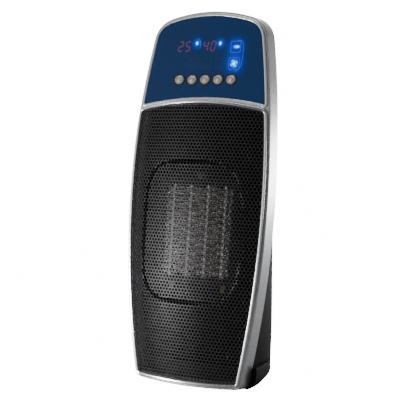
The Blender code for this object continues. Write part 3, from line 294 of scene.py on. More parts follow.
for noise, size in ((fine_noise, "Grain size"), (slow_noise, "Drift size")):
    wire(surface_grain, grain_in.outputs["Vector"], noise.inputs["Vector"])
    wire(surface_grain, maths(surface_grain, "DIVIDE", 1.0, grain_in.outputs[size]),
         noise.inputs["Scale"])
drift = maths(surface_grain, "SUBTRACT", slow_noise.outputs["Fac"], 0.5)
speck = maths(surface_grain, "SUBTRACT", fine_noise.outputs["Fac"], 0.5)
both = maths(surface_grain, "ADD", drift, maths(surface_grain, "MULTIPLY", speck, SPECK_SHARE))
gloss = maths(surface_grain, "ADD", grain_in.outputs["Gloss"],
              maths(surface_grain, "MULTIPLY", both, grain_in.outputs["Gloss spread"]))
wire(surface_grain, gloss, grain_out.inputs["Roughness"])
shade = maths(surface_grain, "ADD", 1.0,
              maths(surface_grain, "MULTIPLY", both, grain_in.outputs["Colour spread"]))
tint = node(surface_grain, "ShaderNodeVectorMath", operation="SCALE")
wire(surface_grain, grain_in.outputs["Colour"], tint.inputs[0])
wire(surface_grain, shade, tint.inputs["Scale"])
wire(surface_grain, tint.outputs[0], grain_out.inputs["Colour"])
wire(surface_grain, fine_noise.outputs["Fac"], grain_out.inputs["Height"])


def finish_of(name, colour, gloss, metal=0.0, grain=0.0004, rise=0.00002, drift_size=0.03,
              gloss_spread=0.10, colour_spread=0.12, coat=0.0, glow=None, glow_strength=0.0,
              mirror=0.5):
    """A finish in the maker's terms: colour, gloss, metal, and a grain of that size and rise.

    The gloss is a roughness, so a smaller one is shinier, and mirror is how strongly the
    bare surface reflects.
    """
    made = bpy.data.materials.new(name)
    made.use_nodes = True
    tree = made.node_tree
    shader = tree.nodes["Principled BSDF"]
    shader.inputs["Metallic"].default_value = metal
    shader.inputs["Specular IOR Level"].default_value = mirror
    shader.inputs["Coat Weight"].default_value = coat
    shader.inputs["Coat Roughness"].default_value = 0.05
    place = node(tree, "ShaderNodeTexCoord")
    group = node(tree, "ShaderNodeGroup", node_tree=surface_grain)
    wire(tree, place.outputs["Object"], group.inputs["Vector"])
    group.inputs["Grain size"].default_value = grain
    group.inputs["Drift size"].default_value = drift_size
    group.inputs["Gloss"].default_value = gloss
    group.inputs["Gloss spread"].default_value = gloss_spread
    group.inputs["Colour"].default_value = (*colour, 1.0)
    group.inputs["Colour spread"].default_value = colour_spread
    wire(tree, group.outputs["Colour"], shader.inputs["Base Color"])
    wire(tree, group.outputs["Roughness"], shader.inputs["Roughness"])
    if rise:
        bump = node(tree, "ShaderNodeBump")
        bump.inputs["Distance"].default_value = rise
        wire(tree, group.outputs["Height"], bump.inputs["Height"])
        wire(tree, bump.outputs["Normal"], shader.inputs["Normal"])
    if glow:
        shader.inputs["Emission Color"].default_value = (*glow, 1.0)
        shader.inputs["Emission Strength"].default_value = glow_strength
    return made


silver_paint = finish_of("silver_paint", (0.74, 0.75, 0.77), 0.27, metal=0.92, grain=0.00035,
                         rise=0.000006, drift_size=0.05, gloss_spread=0.10, colour_spread=0.08)
whole_face = opening(bottom_edge, top_edge, BOTTOM_ROUND, TOP_ROUND, up=160, turn=16)
band_section = filleted([(-LIP_REACH, LIP_FRONT, 0.0003), (BAND_EDGE, LIP_FRONT, 0.0014),
                         (BAND_EDGE + BAND_FLARE, BAND_DEPTH, 0.0005),
                         (-LIP_REACH, BAND_DEPTH, 0.0002), (-LIP_REACH, FLANGE_FRONT, 0.0002),
                         (BAND_INSIDE, FLANGE_FRONT, 0.0002), (BAND_INSIDE, LIP_BACK, 0.0002),
                         (-LIP_REACH, LIP_BACK, 0.0002)])
front_band = swept("front_frame_band", whole_face, band_section, frame_surface, silver_paint)
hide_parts("front_frame")

# The cross bar: its top face closes the step from the swollen grille back to the window.
BAR_HALF_LENGTH = 0.0832
BAR_LEDGE = 0.0040           # height at which the bar steps back to the window
BAR_HEIGHT = 0.0098
bar_across = np.linspace(-BAR_HALF_LENGTH, BAR_HALF_LENGTH, 81)
bar_verts = []
for x in bar_across:
    low = grille_top_edge(x)
    swollen = grille_surface(x, low) + LIP_FRONT
    level = window_surface(x, low)
    bar_section = ((-LIP_REACH, swollen), (0.0030, swollen), (0.0037, swollen + 0.0003),
                   (BAR_LEDGE, swollen + 0.0010), (BAR_LEDGE, level + LIP_FRONT),
                   (BAR_HEIGHT, level + LIP_FRONT), (BAR_HEIGHT, level + LIP_BACK),
                   (-LIP_REACH, level + LIP_BACK))
    bar_verts += [on_face(x, depth, low + up) for up, depth in bar_section]
cross_bar = mesh_piece("front_frame_bar", bar_verts,
                       capped_faces(len(bar_across), len(bar_section)), silver_paint)
for piece in (front_band, cross_bar):
    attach(piece, "casing")

# ------------------------------------------------------------------ trim rings
# Two bright plated rings, clipped on the frame: one round the grille, one round the window.
# Both have well rounded front edges.
RING_WIDTH = 0.0032
RING_DEPTH = 0.0030
RING_ROUND = 0.0008          # rounding of the front edges
BEZEL_SET_BACK = 0.0012
GRILLE_TOP_ROUND = 0.0040
WINDOW_LOW_ROUND = 0.0020
bright_trim = finish_of("bright_trim", (0.86, 0.86, 0.87), 0.20, metal=0.95, grain=0.0006,
                        rise=0.000003, drift_size=0.06, gloss_spread=0.06, colour_spread=0.04)
grille_opening = opening(bottom_edge, grille_top_edge, BOTTOM_ROUND, GRILLE_TOP_ROUND)
window_opening = opening(window_bottom_edge, top_edge, WINDOW_LOW_ROUND, TOP_ROUND, up=60,
                         turn=16)
for name, outline, surface, start in (
        ("grille_ring", grille_opening, grille_surface, 0.0),
        ("window_bezel", window_opening, window_surface, BEZEL_SET_BACK)):
    ring_section = filleted([(0, start, RING_ROUND), (RING_WIDTH, start, RING_ROUND),
                             (RING_WIDTH, RING_DEPTH, 0.0001), (0, RING_DEPTH, 0.0001)])
    ring = swept(name + "_trim", outline, ring_section, surface, bright_trim)
    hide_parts(name)
    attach(ring, "casing")

# ------------------------------------------------------------------ punched grille
# One steel sheet, punched flat with round holes in staggered rows, pressed to the barrel
# with a shallow dish in its middle, and painted semi-gloss black. Its rim is left whole.
HOLE_PITCH = 0.0044
ROW_PITCH = HOLE_PITCH * math.sqrt(3) / 2
HOLE_RADIUS = 0.00182
HOLE_SIDES = 12
SHEET_THICK = 0.0009
SHEET_SET_BACK = 0.0015
SHEET_RIM = 0.0013
SHEET_COLUMNS, SHEET_ROWS = 42, 89
SHEET_WELD = 2e-5            # neighbouring cells' points closer than this are one
CRUSHED_AREA = 2e-9          # smaller faces are leftovers of cells pressed flat at the rim
RIM_LAP = 0.0004             # how far the whole rim laps the punched sheet
RIM_GAP = 0.0003
RIM_THICK = 0.0014
DISH_CENTRE = 0.1740
DISH_HALF_WIDTH = 0.0660
DISH_HALF_HEIGHT = 0.0835
DISH_POWER = 4.2
DISH_FOLLOW = 0.75           # share of the barrel's shape that the floor keeps
DISH_SINK = 0.0020           # depth of the floor behind that share
DISH_WALL = 0.0350           # share of the dish over which its wall runs down

grille_paint = finish_of("grille_paint", (0.033, 0.033, 0.034), 0.36, grain=0.00025,
                         rise=0.000015, drift_size=0.02, gloss_spread=0.16, colour_spread=0.3)


def punched_cell():
    """The metal round one hole: a hexagon of sheet with its hole's wall."""
    hexagon = [(math.cos(a), math.sin(a)) for a in
               (math.pi / 6 + math.pi / 3 * k for k in range(6))]
    circle = [(math.cos(a), math.sin(a)) for a in
              (math.pi / 6 + 2 * math.pi / HOLE_SIDES * k for k in range(HOLE_SIDES))]
    reach = HOLE_PITCH / math.sqrt(3)
    verts = []
    for level in (0.0, -SHEET_THICK):
        verts += [(x * reach, y * reach, level) for x, y in hexagon]
        verts += [(x * HOLE_RADIUS, y * HOLE_RADIUS, level) for x, y in circle]
    back = 6 + HOLE_SIDES
    step = HOLE_SIDES // 6
    faces = []
    for k in range(6):
        rim = [6 + (k * step + i) % HOLE_SIDES for i in range(step, -1, -1)]
        faces.append((k, (k + 1) % 6, *rim))
        faces.append(tuple(back + v for v in (*reversed(rim), (k + 1) % 6, k)))
    for k in range(HOLE_SIDES):
        a, b = 6 + k, 6 + (k + 1) % HOLE_SIDES
        faces.append((a, b, back + b, back + a))
    return mesh_of("punched_cell", verts, faces)


def repeat_tree(name):
    """Geometry nodes that repeat the input mesh in rows, every second row shifted sideways."""
    tree = bpy.data.node_groups.new(name, "GeometryNodeTree")
    for label, kind in (("Geometry", "NodeSocketGeometry"), ("Column pitch", "NodeSocketFloat"),
                        ("Row pitch", "NodeSocketFloat"), ("Columns", "NodeSocketInt"),
                        ("Rows", "NodeSocketInt"), ("Row shift", "NodeSocketFloat"),
                        ("Finish", "NodeSocketMaterial")):
        tree.interface.new_socket(label, in_out="INPUT", socket_type=kind)
    tree.interface.new_socket("Geometry", in_out="OUTPUT", socket_type="NodeSocketGeometry")
    entry, leave = node(tree, "NodeGroupInput"), node(tree, "NodeGroupOutput")
    value = entry.outputs
    grid = node(tree, "GeometryNodeMeshGrid")
    last_column = maths(tree, "SUBTRACT", value["Columns"], 1.0)
    last_row = maths(tree, "SUBTRACT", value["Rows"], 1.0)
    wire(tree, maths(tree, "MULTIPLY", last_column, value["Column pitch"]), grid.inputs["Size X"])
    wire(tree, maths(tree, "MULTIPLY", last_row, value["Row pitch"]), grid.inputs["Size Y"])
    wire(tree, value["Columns"], grid.inputs["Vertices X"])
    wire(tree, value["Rows"], grid.inputs["Vertices Y"])
    place = node(tree, "ShaderNodeSeparateXYZ")
    wire(tree, node(tree, "GeometryNodeInputPosition").outputs[0], place.inputs[0])
    height = maths(tree, "DIVIDE", place.outputs["Y"], value["Row pitch"])
    row = maths(tree, "ROUND", maths(tree, "ADD", height, maths(tree, "DIVIDE", last_row, 2.0)))
    odd = maths(tree, "SUBTRACT", maths(tree, "MODULO", row, 2.0), 0.5)
    shift = node(tree, "ShaderNodeCombineXYZ")
    sideways = maths(tree, "MULTIPLY", value["Column pitch"], value["Row shift"])
    wire(tree, maths(tree, "MULTIPLY", odd, sideways), shift.inputs["X"])
    moved = node(tree, "GeometryNodeSetPosition")
    wire(tree, grid.outputs["Mesh"], moved.inputs["Geometry"])
    wire(tree, shift.outputs[0], moved.inputs["Offset"])
    copies = node(tree, "GeometryNodeInstanceOnPoints")
    wire(tree, moved.outputs[0], copies.inputs["Points"])
    wire(tree, value["Geometry"], copies.inputs["Instance"])
    real = node(tree, "GeometryNodeRealizeInstances")
    wire(tree, copies.outputs[0], real.inputs[0])
    painted = node(tree, "GeometryNodeSetMaterial")
    wire(tree, real.outputs[0], painted.inputs["Geometry"])
    wire(tree, value["Finish"], painted.inputs["Material"])
    wire(tree, painted.outputs[0], leave.inputs[0])
    return tree


staggered_rows = repeat_tree("staggered_rows")


def repeated(mesh, columns, rows, column_pitch, row_pitch, row_shift, finish):
    """A plain mesh of the staggered rows, made by the geometry nodes on the given mesh."""
    source = placed(mesh.name, mesh)
    rows_of = source.modifiers.new("rows", "NODES")
    rows_of.node_group = staggered_rows
    wanted = {"Columns": columns, "Rows": rows, "Column pitch": column_pitch,
              "Row pitch": row_pitch, "Row shift": row_shift, "Finish": finish}
    for item in staggered_rows.interface.items_tree:
        if item.in_out == "INPUT" and item.name in wanted:
            rows_of[item.identifier] = wanted[item.name]
    graph = bpy.context.evaluated_depsgraph_get()
    made = bpy.data.meshes.new_from_object(source.evaluated_get(graph))
    bpy.data.objects.remove(source)
    return made


def points_of(mesh):
    co = np.zeros(len(mesh.vertices) * 3)
    mesh.vertices.foreach_get("co", co)
    return co.reshape(-1, 3)


def grille_depth(x, s):
    """Depth of the sheet's front: the barrel, with the flatter floor of the dish."""
    outer = grille_surface(x, s) + SHEET_SET_BACK
    reach = (np.abs(x / DISH_HALF_WIDTH) ** DISH_POWER
             + np.abs((s - DISH_CENTRE) / DISH_HALF_HEIGHT) ** DISH_POWER) ** (1 / DISH_POWER)
    share = np.clip((1.0 - reach) / DISH_WALL, 0.0, 1.0)
    share = share * share * (3 - 2 * share)
    return outer * (1 - share) + (DISH_FOLLOW * grille_surface(x, s) + DISH_SINK) * share


flat_sheet = repeated(punched_cell(), SHEET_COLUMNS, SHEET_ROWS, HOLE_PITCH, ROW_PITCH, 0.5,
                      grille_paint)
flat = points_of(flat_sheet)
x, s = flat[:, 0].copy(), flat[:, 1] + GRILLE_TOP / 2
for _ in range(3):
    reach = half_width(s) - SHEET_RIM
    x = np.clip(x, -reach, reach)
    s = np.clip(s, bottom_edge(x) + SHEET_RIM, grille_top_edge(x) - SHEET_RIM)
pressed = np.stack(on_face(x, grille_depth(x, s) - flat[:, 2], s), 1)
flat_sheet.vertices.foreach_set("co", pressed.ravel())
flat_sheet.update()
sheet_mesh = bmesh.new()
sheet_mesh.from_mesh(flat_sheet)
bmesh.ops.remove_doubles(sheet_mesh, verts=sheet_mesh.verts, dist=SHEET_WELD)
crushed = [f for f in sheet_mesh.faces if f.calc_area() < CRUSHED_AREA]
bmesh.ops.delete(sheet_mesh, geom=crushed, context="FACES")
sheet_mesh.to_mesh(flat_sheet)
sheet_mesh.free()
grille = placed("grille_sheet", flat_sheet)
flat_sheet.shade_smooth()
flat_sheet.set_sharp_from_angle(angle=SMOOTH_UNDER)
rim_back = SHEET_SET_BACK + RIM_THICK
rim_section = filleted([(-SHEET_RIM - RIM_LAP, SHEET_SET_BACK, 0.0001),
                        (-RIM_GAP, SHEET_SET_BACK, 0.0001), (-RIM_GAP, rim_back, 0.0001),
                        (-SHEET_RIM - RIM_LAP, rim_back, 0.0001)], steps=2)
grille_rim = swept("grille_rim", grille_opening, rim_section, grille_surface, grille_paint,
                   follow=True)
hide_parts("front_grille")
for piece in (grille, grille_rim):
    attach(piece, "casing")

# ------------------------------------------------------------------ heating element
# Flat aluminium tubes hold the ceramic stones. Between them run fins folded from thin strip,
# held with pale cement, in a brown heat-proof holder with a brass tab at two tubes' ends.
ELEMENT_CENTRE = 0.1755
ELEMENT_HALF_WIDTH = 0.0452
ELEMENT_HALF_HEIGHT = 0.0545
ELEMENT_FRONT = 0.0110
ELEMENT_THICK = 0.0130
TUBES = 4
TUBE_PITCH = 0.0233
TUBE_WIDTH = 0.0030
FOLD_RISE = 0.0013           # half the rise of one fold of the strip
STRIP_THICK = 0.0003
FIN_GAP = 0.0002
ONE_COLUMN = 1e-6            # pitch that lays the two columns of the rows on each other

fin_finish = finish_of("folded_strip", (0.72, 0.67, 0.62), 0.36, metal=0.55, grain=0.0012,
                       rise=0.00010, drift_size=0.006, gloss_spread=0.35, colour_spread=0.7)
tube_finish = finish_of("element_tube", (0.44, 0.41, 0.38), 0.46, metal=0.35, grain=0.0010,
                        rise=0.00012, drift_size=0.008, gloss_spread=0.30, colour_spread=0.5)
holder_finish = finish_of("heat_proof_plastic", (0.008, 0.006, 0.005), 0.75, grain=0.0006,
                          rise=0.00004, colour_spread=0.3, mirror=0.15)
brass_finish = finish_of("brass_tab", (0.16, 0.12, 0.06), 0.60, metal=0.8, grain=0.0008,
                         rise=0.00001, colour_spread=0.2)


def fold_mesh(left, right):
    """One fold of strip: over to the right tube and back, standing through the element."""
    verts, faces = [], []
    for start, end in (((left, -FOLD_RISE), (right, 0.0)), ((right, 0.0), (left, FOLD_RISE))):
        first = len(verts)
        for across, up in (start, end):
            for half in (-STRIP_THICK / 2, STRIP_THICK / 2):
                for depth in (0.0, ELEMENT_THICK):
                    verts.append((across, up + half, depth))
        faces += [tuple(first + v for v in face) for face in
                  ((0, 1, 3, 2), (4, 6, 7, 5), (0, 4, 5, 1), (2, 3, 7, 6), (0, 2, 6, 4),
                   (1, 5, 7, 3))]
    return mesh_of("fold", verts, faces)


tubes = [(i - (TUBES - 1) / 2) * TUBE_PITCH for i in range(TUBES)]
edges = [-ELEMENT_HALF_WIDTH] + [t + side * TUBE_WIDTH / 2 for t in tubes for side in (-1, 1)]
edges += [ELEMENT_HALF_WIDTH]
fold_count = int((ELEMENT_HALF_HEIGHT - FOLD_RISE) / FOLD_RISE)
for number in range(TUBES + 1):
    left, right = edges[2 * number] + FIN_GAP, edges[2 * number + 1] - FIN_GAP
    folds = repeated(fold_mesh(left, right), 2, fold_count, ONE_COLUMN, 2 * FOLD_RISE, 0.0,
                     fin_finish)
    co = points_of(folds)
    folds.vertices.foreach_set("co", np.stack(
        on_face(co[:, 0], ELEMENT_FRONT + co[:, 2], co[:, 1] + ELEMENT_CENTRE), 1).ravel())
    fins = finished(placed(f"folded_fins_{number + 1}", folds), fin_finish)
    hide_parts(f"heater_fins_{number + 1}")
    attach(fins, "casing")


def refinish(finish, *names):
    """Gives these frame pieces, whose shape is kept, their finish."""
    for name in names:
        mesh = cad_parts[name].data
        mesh.materials.clear()
        mesh.materials.append(finish)


def numbered(stem, count):
    return [f"{stem}_{i}" for i in range(1, count + 1)]


refinish(tube_finish, *numbered("heater_bar", TUBES))
refinish(holder_finish, "heater_holder")
refinish(brass_finish, "heater_terminal_left", "heater_terminal_right")

# ------------------------------------------------------------------ control window
# A flat smoked-blue acrylic plate, cut for the five buttons, with polished edges. Lit signs
# shine through it from behind, so the plate glows a little round each of them.
BUTTON_LINE = 0.3540
WINDOW_FRONT = 0.0004        # the plate stands this far behind the bezel's front
WINDOW_THICK = 0.0013
WINDOW_CLEAR = 0.0003        # gap between the plate and the bezel's opening
PLATE_SMOOTH = math.radians(10)
OVAL_POINTS = 48
BUTTONS = 5
BUTTON_PITCH = 0.0175
BUTTON_HALF_WIDTH = 0.0065
BUTTON_HALF_HEIGHT = 0.0053
BUTTON_CLEAR = 0.0005
WINDOW_TILT = math.atan(2 * BOW * (GRILLE_TOP - WIDEST) / WIDEST ** 2)
window_place = Matrix.Translation(on_face(0, bow(BUTTON_LINE) + BEZEL_SET_BACK, BUTTON_LINE))
window_place @= Matrix.Rotation(-LEAN - WINDOW_TILT, 4, "X")


def oval(half_x, half_y, centre=(0.0, 0.0), count=OVAL_POINTS, turn=1):
    """Closed loop of an oval; turned the other way it is a hole."""
    return [(centre[0] + half_x * math.cos(turn * 2 * math.pi * i / count),
             centre[1] + half_y * math.sin(turn * 2 * math.pi * i / count))
            for i in range(count)]


def plate(name, loops, front, thick, finish, edge=0.0, matrix=None):
    """A flat plate of closed loops, the inner ones holes, standing behind a window depth."""
    curve = bpy.data.curves.new(name, "CURVE")
    curve.dimensions = "2D"
    curve.fill_mode = "BOTH"
    curve.extrude = max(thick / 2 - edge, 0.0)
    curve.bevel_depth = edge
    curve.bevel_resolution = 2
    curve.offset = -edge
    for loop in loops:
        spline = curve.splines.new("POLY")
        spline.points.add(len(loop) - 1)
        for point, (across, up) in zip(spline.points, loop):
            point.co = (across, up, 0.0, 1.0)
        spline.use_cyclic_u = True
    shape = placed(name + "_curve", curve)
    graph = bpy.context.evaluated_depsgraph_get()
    mesh = bpy.data.meshes.new_from_object(shape.evaluated_get(graph))
    bpy.data.objects.remove(shape)
    stand = Matrix.Translation((0, front + thick / 2, 0)) @ Matrix.Rotation(math.pi / 2, 4, "X")
    mesh.transform((matrix or window_place) @ stand)
    return finished(placed(name, mesh), finish, PLATE_SMOOTH)


def sign_place(x, s):
    """A place on the window plate, across and up from the button line."""
    return x, (s - BUTTON_LINE) / math.cos(WINDOW_TILT)


FIRST_LED = sign_place(-0.0150, 0.3976)
SECOND_LED = sign_place(0.0165, 0.3970)
HEAT_SIGN = sign_place(0.0375, 0.3925)
FAN_SIGN = sign_place(0.0370, 0.3728)

window_finish = finish_of("smoked_blue_acrylic", (0.002, 0.037, 0.145), 0.09, grain=0.002,
                          rise=0.0, drift_size=0.05, gloss_spread=0.03, colour_spread=0.15,
                          coat=0.1, mirror=0.25)
window_tree = window_finish.node_tree
window_shader = window_tree.nodes["Principled BSDF"]
place = node(window_tree, "ShaderNodeTexCoord")
halo_sum = None
HALO_COLOUR = (0.0, 0.045, 0.75)
for (across, up), reach, strength in ((FIRST_LED, 0.0050, 0.9), (SECOND_LED, 0.0050, 0.8),
                                      (HEAT_SIGN, 0.0095, 0.55), (FAN_SIGN, 0.0100, 0.75)):
    centre = window_place @ Vector((across, WINDOW_FRONT, up))
    apart = node(window_tree, "ShaderNodeVectorMath", operation="DISTANCE")
    wire(window_tree, place.outputs["Object"], apart.inputs[0])
    apart.inputs[1].default_value = centre
    share = maths(window_tree, "DIVIDE", apart.outputs["Value"], reach)
    fall = maths(window_tree, "EXPONENT",
                 maths(window_tree, "MULTIPLY", maths(window_tree, "POWER", share, 2.0), -1.0))
    halo = maths(window_tree, "MULTIPLY", fall, strength)
    halo_sum = halo if halo_sum is None else maths(window_tree, "ADD", halo_sum, halo)
halo_tint = node(window_tree, "ShaderNodeVectorMath", operation="SCALE")
halo_tint.inputs[0].default_value = HALO_COLOUR
wire(window_tree, halo_sum, halo_tint.inputs["Scale"])
wire(window_tree, halo_tint.outputs[0], window_shader.inputs["Emission Color"])
window_shader.inputs["Emission Strength"].default_value = 1.0

plate_outline = window_opening - outward(window_opening) * WINDOW_CLEAR
plate_loops = [[sign_place(px, ps) for px, ps in plate_outline]]
button_middles = [(i - BUTTONS // 2) * BUTTON_PITCH for i in range(BUTTONS)]
for middle in button_middles:
    plate_loops.append(oval(BUTTON_HALF_WIDTH + BUTTON_CLEAR, BUTTON_HALF_HEIGHT + BUTTON_CLEAR,
                            (middle, 0.0), turn=-1))
window_plate = plate("window_plate", plate_loops, WINDOW_FRONT, WINDOW_THICK, window_finish,
                     edge=0.0002)
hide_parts("control_window")
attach(window_plate, "casing")

# ------------------------------------------------------------------ lit display
# Signs printed on the back of the plate and lit by diodes: two pairs of slanted digits,
# two round lamps, a heat sign, a fan sign, a bracket line, and three signs that are off.
SIGN_FRONT = WINDOW_FRONT - 0.00006
SIGN_THICK = 0.00010
LAYER_STEP = 0.00005         # a sign that lies over another stands this much further out
digit_glow = finish_of("digit_glow", (0.03, 0.01, 0.03), 0.25, rise=0.0,
                       glow=(0.30, 0.050, 0.25), glow_strength=0.50)
blue_glow = finish_of("blue_glow", (0.0, 0.02, 0.15), 0.25, rise=0.0,
                      glow=(0.0, 0.045, 1.0), glow_strength=0.85)
cyan_glow = finish_of("cyan_glow", (0.0, 0.15, 0.30), 0.25, rise=0.0,
                      glow=(0.0, 0.42, 1.0), glow_strength=1.5)
core_glow = finish_of("core_glow", (0.3, 0.5, 0.6), 0.25, rise=0.0,
                      glow=(0.30, 1.0, 0.95), glow_strength=2.0)
sign_off = finish_of("sign_off", (0.006, 0.045, 0.190), 0.22, rise=0.0, colour_spread=0.2)
display_pieces = []


def sign(name, loops, finish, layer=0):
    """A flat sign on the plate; a higher layer lies over a lower one."""
    front = SIGN_FRONT - layer * LAYER_STEP
    display_pieces.append(plate(name, loops, front, SIGN_THICK, finish))


def bar_loop(start, end, width):
    """A straight bar with pointed ends, as in a seven-part digit."""
    a, b = Vector(start), Vector(end)
    along = (b - a).normalized() * width / 2
    side = Vector((-along.y, along.x))
    return [tuple(p) for p in (a, a + along - side, b - along - side, b, b - along + side,
                               a + along + side)]


SEGMENTS = {"a": ((0, 2), (1, 2)), "b": ((1, 1), (1, 2)), "c": ((1, 0), (1, 1)),
            "d": ((0, 0), (1, 0)), "e": ((0, 0), (0, 1)), "f": ((0, 1), (0, 2)),
            "g": ((0, 1), (1, 1))}
DIGIT_PARTS = {"2": "abged", "5": "afgcd", "4": "fgbc", "0": "abcdef"}
DIGIT_WIDTH, DIGIT_HEIGHT, DIGIT_SLANT, DIGIT_STROKE = 0.0054, 0.0112, 0.16, 0.0014
DIGIT_LINE, DIGIT_PITCH = 0.3884, 0.0098
SEGMENT_GAP = 0.0003
for group, (letters, left) in enumerate((("25", -0.0405), ("40", -0.0062)), 1):
    for place_in_pair, letter in enumerate(letters):
        foot_x, foot_y = sign_place(left + place_in_pair * DIGIT_PITCH, DIGIT_LINE)
        loops = []
        for part in DIGIT_PARTS[letter]:
            ends = []
            for column, level in SEGMENTS[part]:
                up = level * DIGIT_HEIGHT / 2
                ends.append(Vector((foot_x + column * DIGIT_WIDTH + up * DIGIT_SLANT,
                                    foot_y + up)))
            draw_in = (ends[1] - ends[0]).normalized() * SEGMENT_GAP
            loops.append(bar_loop(ends[0] + draw_in, ends[1] - draw_in, DIGIT_STROKE))
        sign(f"digit_{group}_{place_in_pair + 1}", loops, digit_glow)


def arc_band(centre, radius_x, radius_y, start, end, width, count=20):
    """A bent line from one angle to another, in degrees, narrowing at its ends."""
    outer, inner = [], []
    for i in range(count + 1):
        share = i / count
        angle = math.radians(start + (end - start) * share)
        half = width / 2 * (0.35 + 0.65 * math.sin(math.pi * share))
        for side, reach in ((outer, half), (inner, -half)):
            side.append((centre[0] + (radius_x + reach) * math.cos(angle),
                         centre[1] + (radius_y + reach) * math.sin(angle)))
    return outer + inner[::-1]


CORNER_STEPS = 6


def rounded_box(centre, half_x, half_y, corner, turn=1):
    """Closed loop of a box with round corners; turned the other way it is a hole."""
    loop = []
    for k, (side_x, side_y) in enumerate(((1, 1), (-1, 1), (-1, -1), (1, -1))):
        for i in range(CORNER_STEPS + 1):
            angle = math.pi / 2 * (k + i / CORNER_STEPS)
            loop.append((centre[0] + side_x * (half_x - corner) + corner * math.cos(angle),
                         centre[1] + side_y * (half_y - corner) + corner * math.sin(angle)))
    return loop if turn > 0 else loop[::-1]


for name, centre in (("first", FIRST_LED), ("second", SECOND_LED)):
    sign(f"lamp_{name}_ring", [oval(0.0029, 0.0034, centre)], blue_glow)
    sign(f"lamp_{name}_light", [oval(0.0021, 0.0025, centre)], cyan_glow, 1)
    sign(f"lamp_{name}_core", [oval(0.0010, 0.0013, centre)], core_glow, 2)
arc_centre = (FIRST_LED[0] - 0.0003, FIRST_LED[1] - 0.0020)
sign("lamp_first_arc", [arc_band(arc_centre, 0.0052, 0.0078, -35, 78, 0.0016)], blue_glow)

heat_x, heat_y = HEAT_SIGN
sign("heat_sign_frame", [rounded_box(HEAT_SIGN, 0.0070, 0.0072, 0.0022),
                         rounded_box(HEAT_SIGN, 0.0058, 0.0060, 0.0014, turn=-1)], blue_glow)
sign("heat_sign_glow", [oval(0.0052, 0.0027, (heat_x + 0.0008, heat_y))], blue_glow)
sign("heat_sign_light", [oval(0.0040, 0.0018, (heat_x + 0.0014, heat_y))], cyan_glow, 1)
sign("heat_sign_core", [oval(0.0017, 0.0009, (heat_x + 0.0020, heat_y))], core_glow, 2)
for side in (-1, 1):
    sign(f"heat_sign_bar_{'lower' if side < 0 else 'upper'}",
         [rounded_box((heat_x, heat_y + side * 0.0042), 0.0040, 0.0005, 0.0004)], sign_off, 1)

fan_x, fan_y = FAN_SIGN
BLADE_REACH = 0.0030         # from the fan sign's middle to each blade's middle
sign("fan_sign_frame", [rounded_box(FAN_SIGN, 0.0075, 0.0077, 0.0030),
                        rounded_box(FAN_SIGN, 0.0064, 0.0066, 0.0024, turn=-1)], blue_glow)
sign("fan_sign_glow", [oval(0.0056, 0.0058, FAN_SIGN)], blue_glow)
for turn in range(4):
    angle = math.pi / 2 * turn + 0.5
    blade = [(fan_x + BLADE_REACH * math.cos(angle) + px,
              fan_y + BLADE_REACH * math.sin(angle) + py) for px, py in oval(0.0023, 0.0018)]
    sign(f"fan_sign_blade_{turn + 1}", [blade], cyan_glow, 1 + turn % 2)
sign("fan_sign_core", [oval(0.0017, 0.0019, FAN_SIGN)], core_glow, 3)

OFF_SIGN_LINE = 0.3728
for number, x in enumerate((0.0187, 0.0005, -0.0178), 1):
    centre = sign_place(x, OFF_SIGN_LINE)
    inner = rounded_box(centre, 0.0062, 0.0056, 0.0008, turn=-1)
    sign(f"sign_off_{number}", [rounded_box(centre, 0.0068, 0.0062, 0.0013), inner], sign_off)
    sign(f"sign_off_bar_{number}",
         [rounded_box((centre[0], centre[1] - 0.0030), 0.0040, 0.0004, 0.0003)], sign_off)

BRACKET_HALF = 0.00055       # half the width of the line round the two framed signs
bracket_path = [(0.0395, 0.4000), (0.0430, 0.4002), (0.0458, 0.3988), (0.0474, 0.3955),
                (0.0478, 0.3910), (0.0476, 0.3840), (0.0474, 0.3770), (0.0468, 0.3715),
                (0.0450, 0.3675), (0.0420, 0.3648), (0.0390, 0.3632)]
bracket = [Vector(sign_place(px, ps)) for px, ps in bracket_path]
left_side, right_side = [], []
for i, point in enumerate(bracket):
    along = bracket[min(i + 1, len(bracket) - 1)] - bracket[max(i - 1, 0)]
    across = Vector((-along.y, along.x)).normalized() * BRACKET_HALF
    left_side.append(tuple(point + across))
    right_side.append(tuple(point - across))
sign("bracket_line", [left_side + right_side[::-1]], blue_glow)
for piece in display_pieces:
    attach(piece, "casing")

# ------------------------------------------------------------------ buttons
# Five oval caps in warm silver paint, each with a pressed ring, a domed middle and a small
# white sign. Black collars round the holes are painted shade for the dark gap and the caps'
# shaded side walls. Each cap rides on its own body.
FLANGE_DEPTH = WINDOW_FRONT + WINDOW_THICK + 0.0003
FLANGE_BACK = FLANGE_DEPTH + 0.0011
STEM_DEPTH = 0.0068
MARK_FRONT = -0.00088
MARK_THICK = 0.0004
COLLAR_REACH, COLLAR_INSIDE = 0.0013, 0.0003     # outside the cap's edge
COLLAR_RISE, COLLAR_THICK, COLLAR_EDGE = 0.0005, 0.0012, 0.00015
button_paint = finish_of("button_paint", (0.40, 0.36, 0.32), 0.42, metal=0.45, grain=0.0003,
                         rise=0.00001, colour_spread=0.10)
button_print = finish_of("button_print", (0.90, 0.90, 0.88), 0.40, rise=0.0)
# The collars' black is painted shade: it darkens the gap and the caps' side walls round each
# hole.
collar_painted_shade = finish_of("collar_painted_shade", (0.006, 0.006, 0.008), 0.35, grain=0.0004, rise=0.00001)
CAP_PROFILE = [(0.02, -0.00082), (0.22, -0.00080), (0.40, -0.00068), (0.50, -0.00050),
               (0.56, -0.00040), (0.62, -0.00044), (0.68, -0.00060), (0.76, -0.00070),
               (0.84, -0.00064), (0.92, -0.00042), (0.97, -0.00012), (1.00, 0.00030),
               (1.00, FLANGE_DEPTH), (1.20, FLANGE_DEPTH), (1.20, FLANGE_BACK),
               (0.45, FLANGE_BACK), (0.45, STEM_DEPTH)]
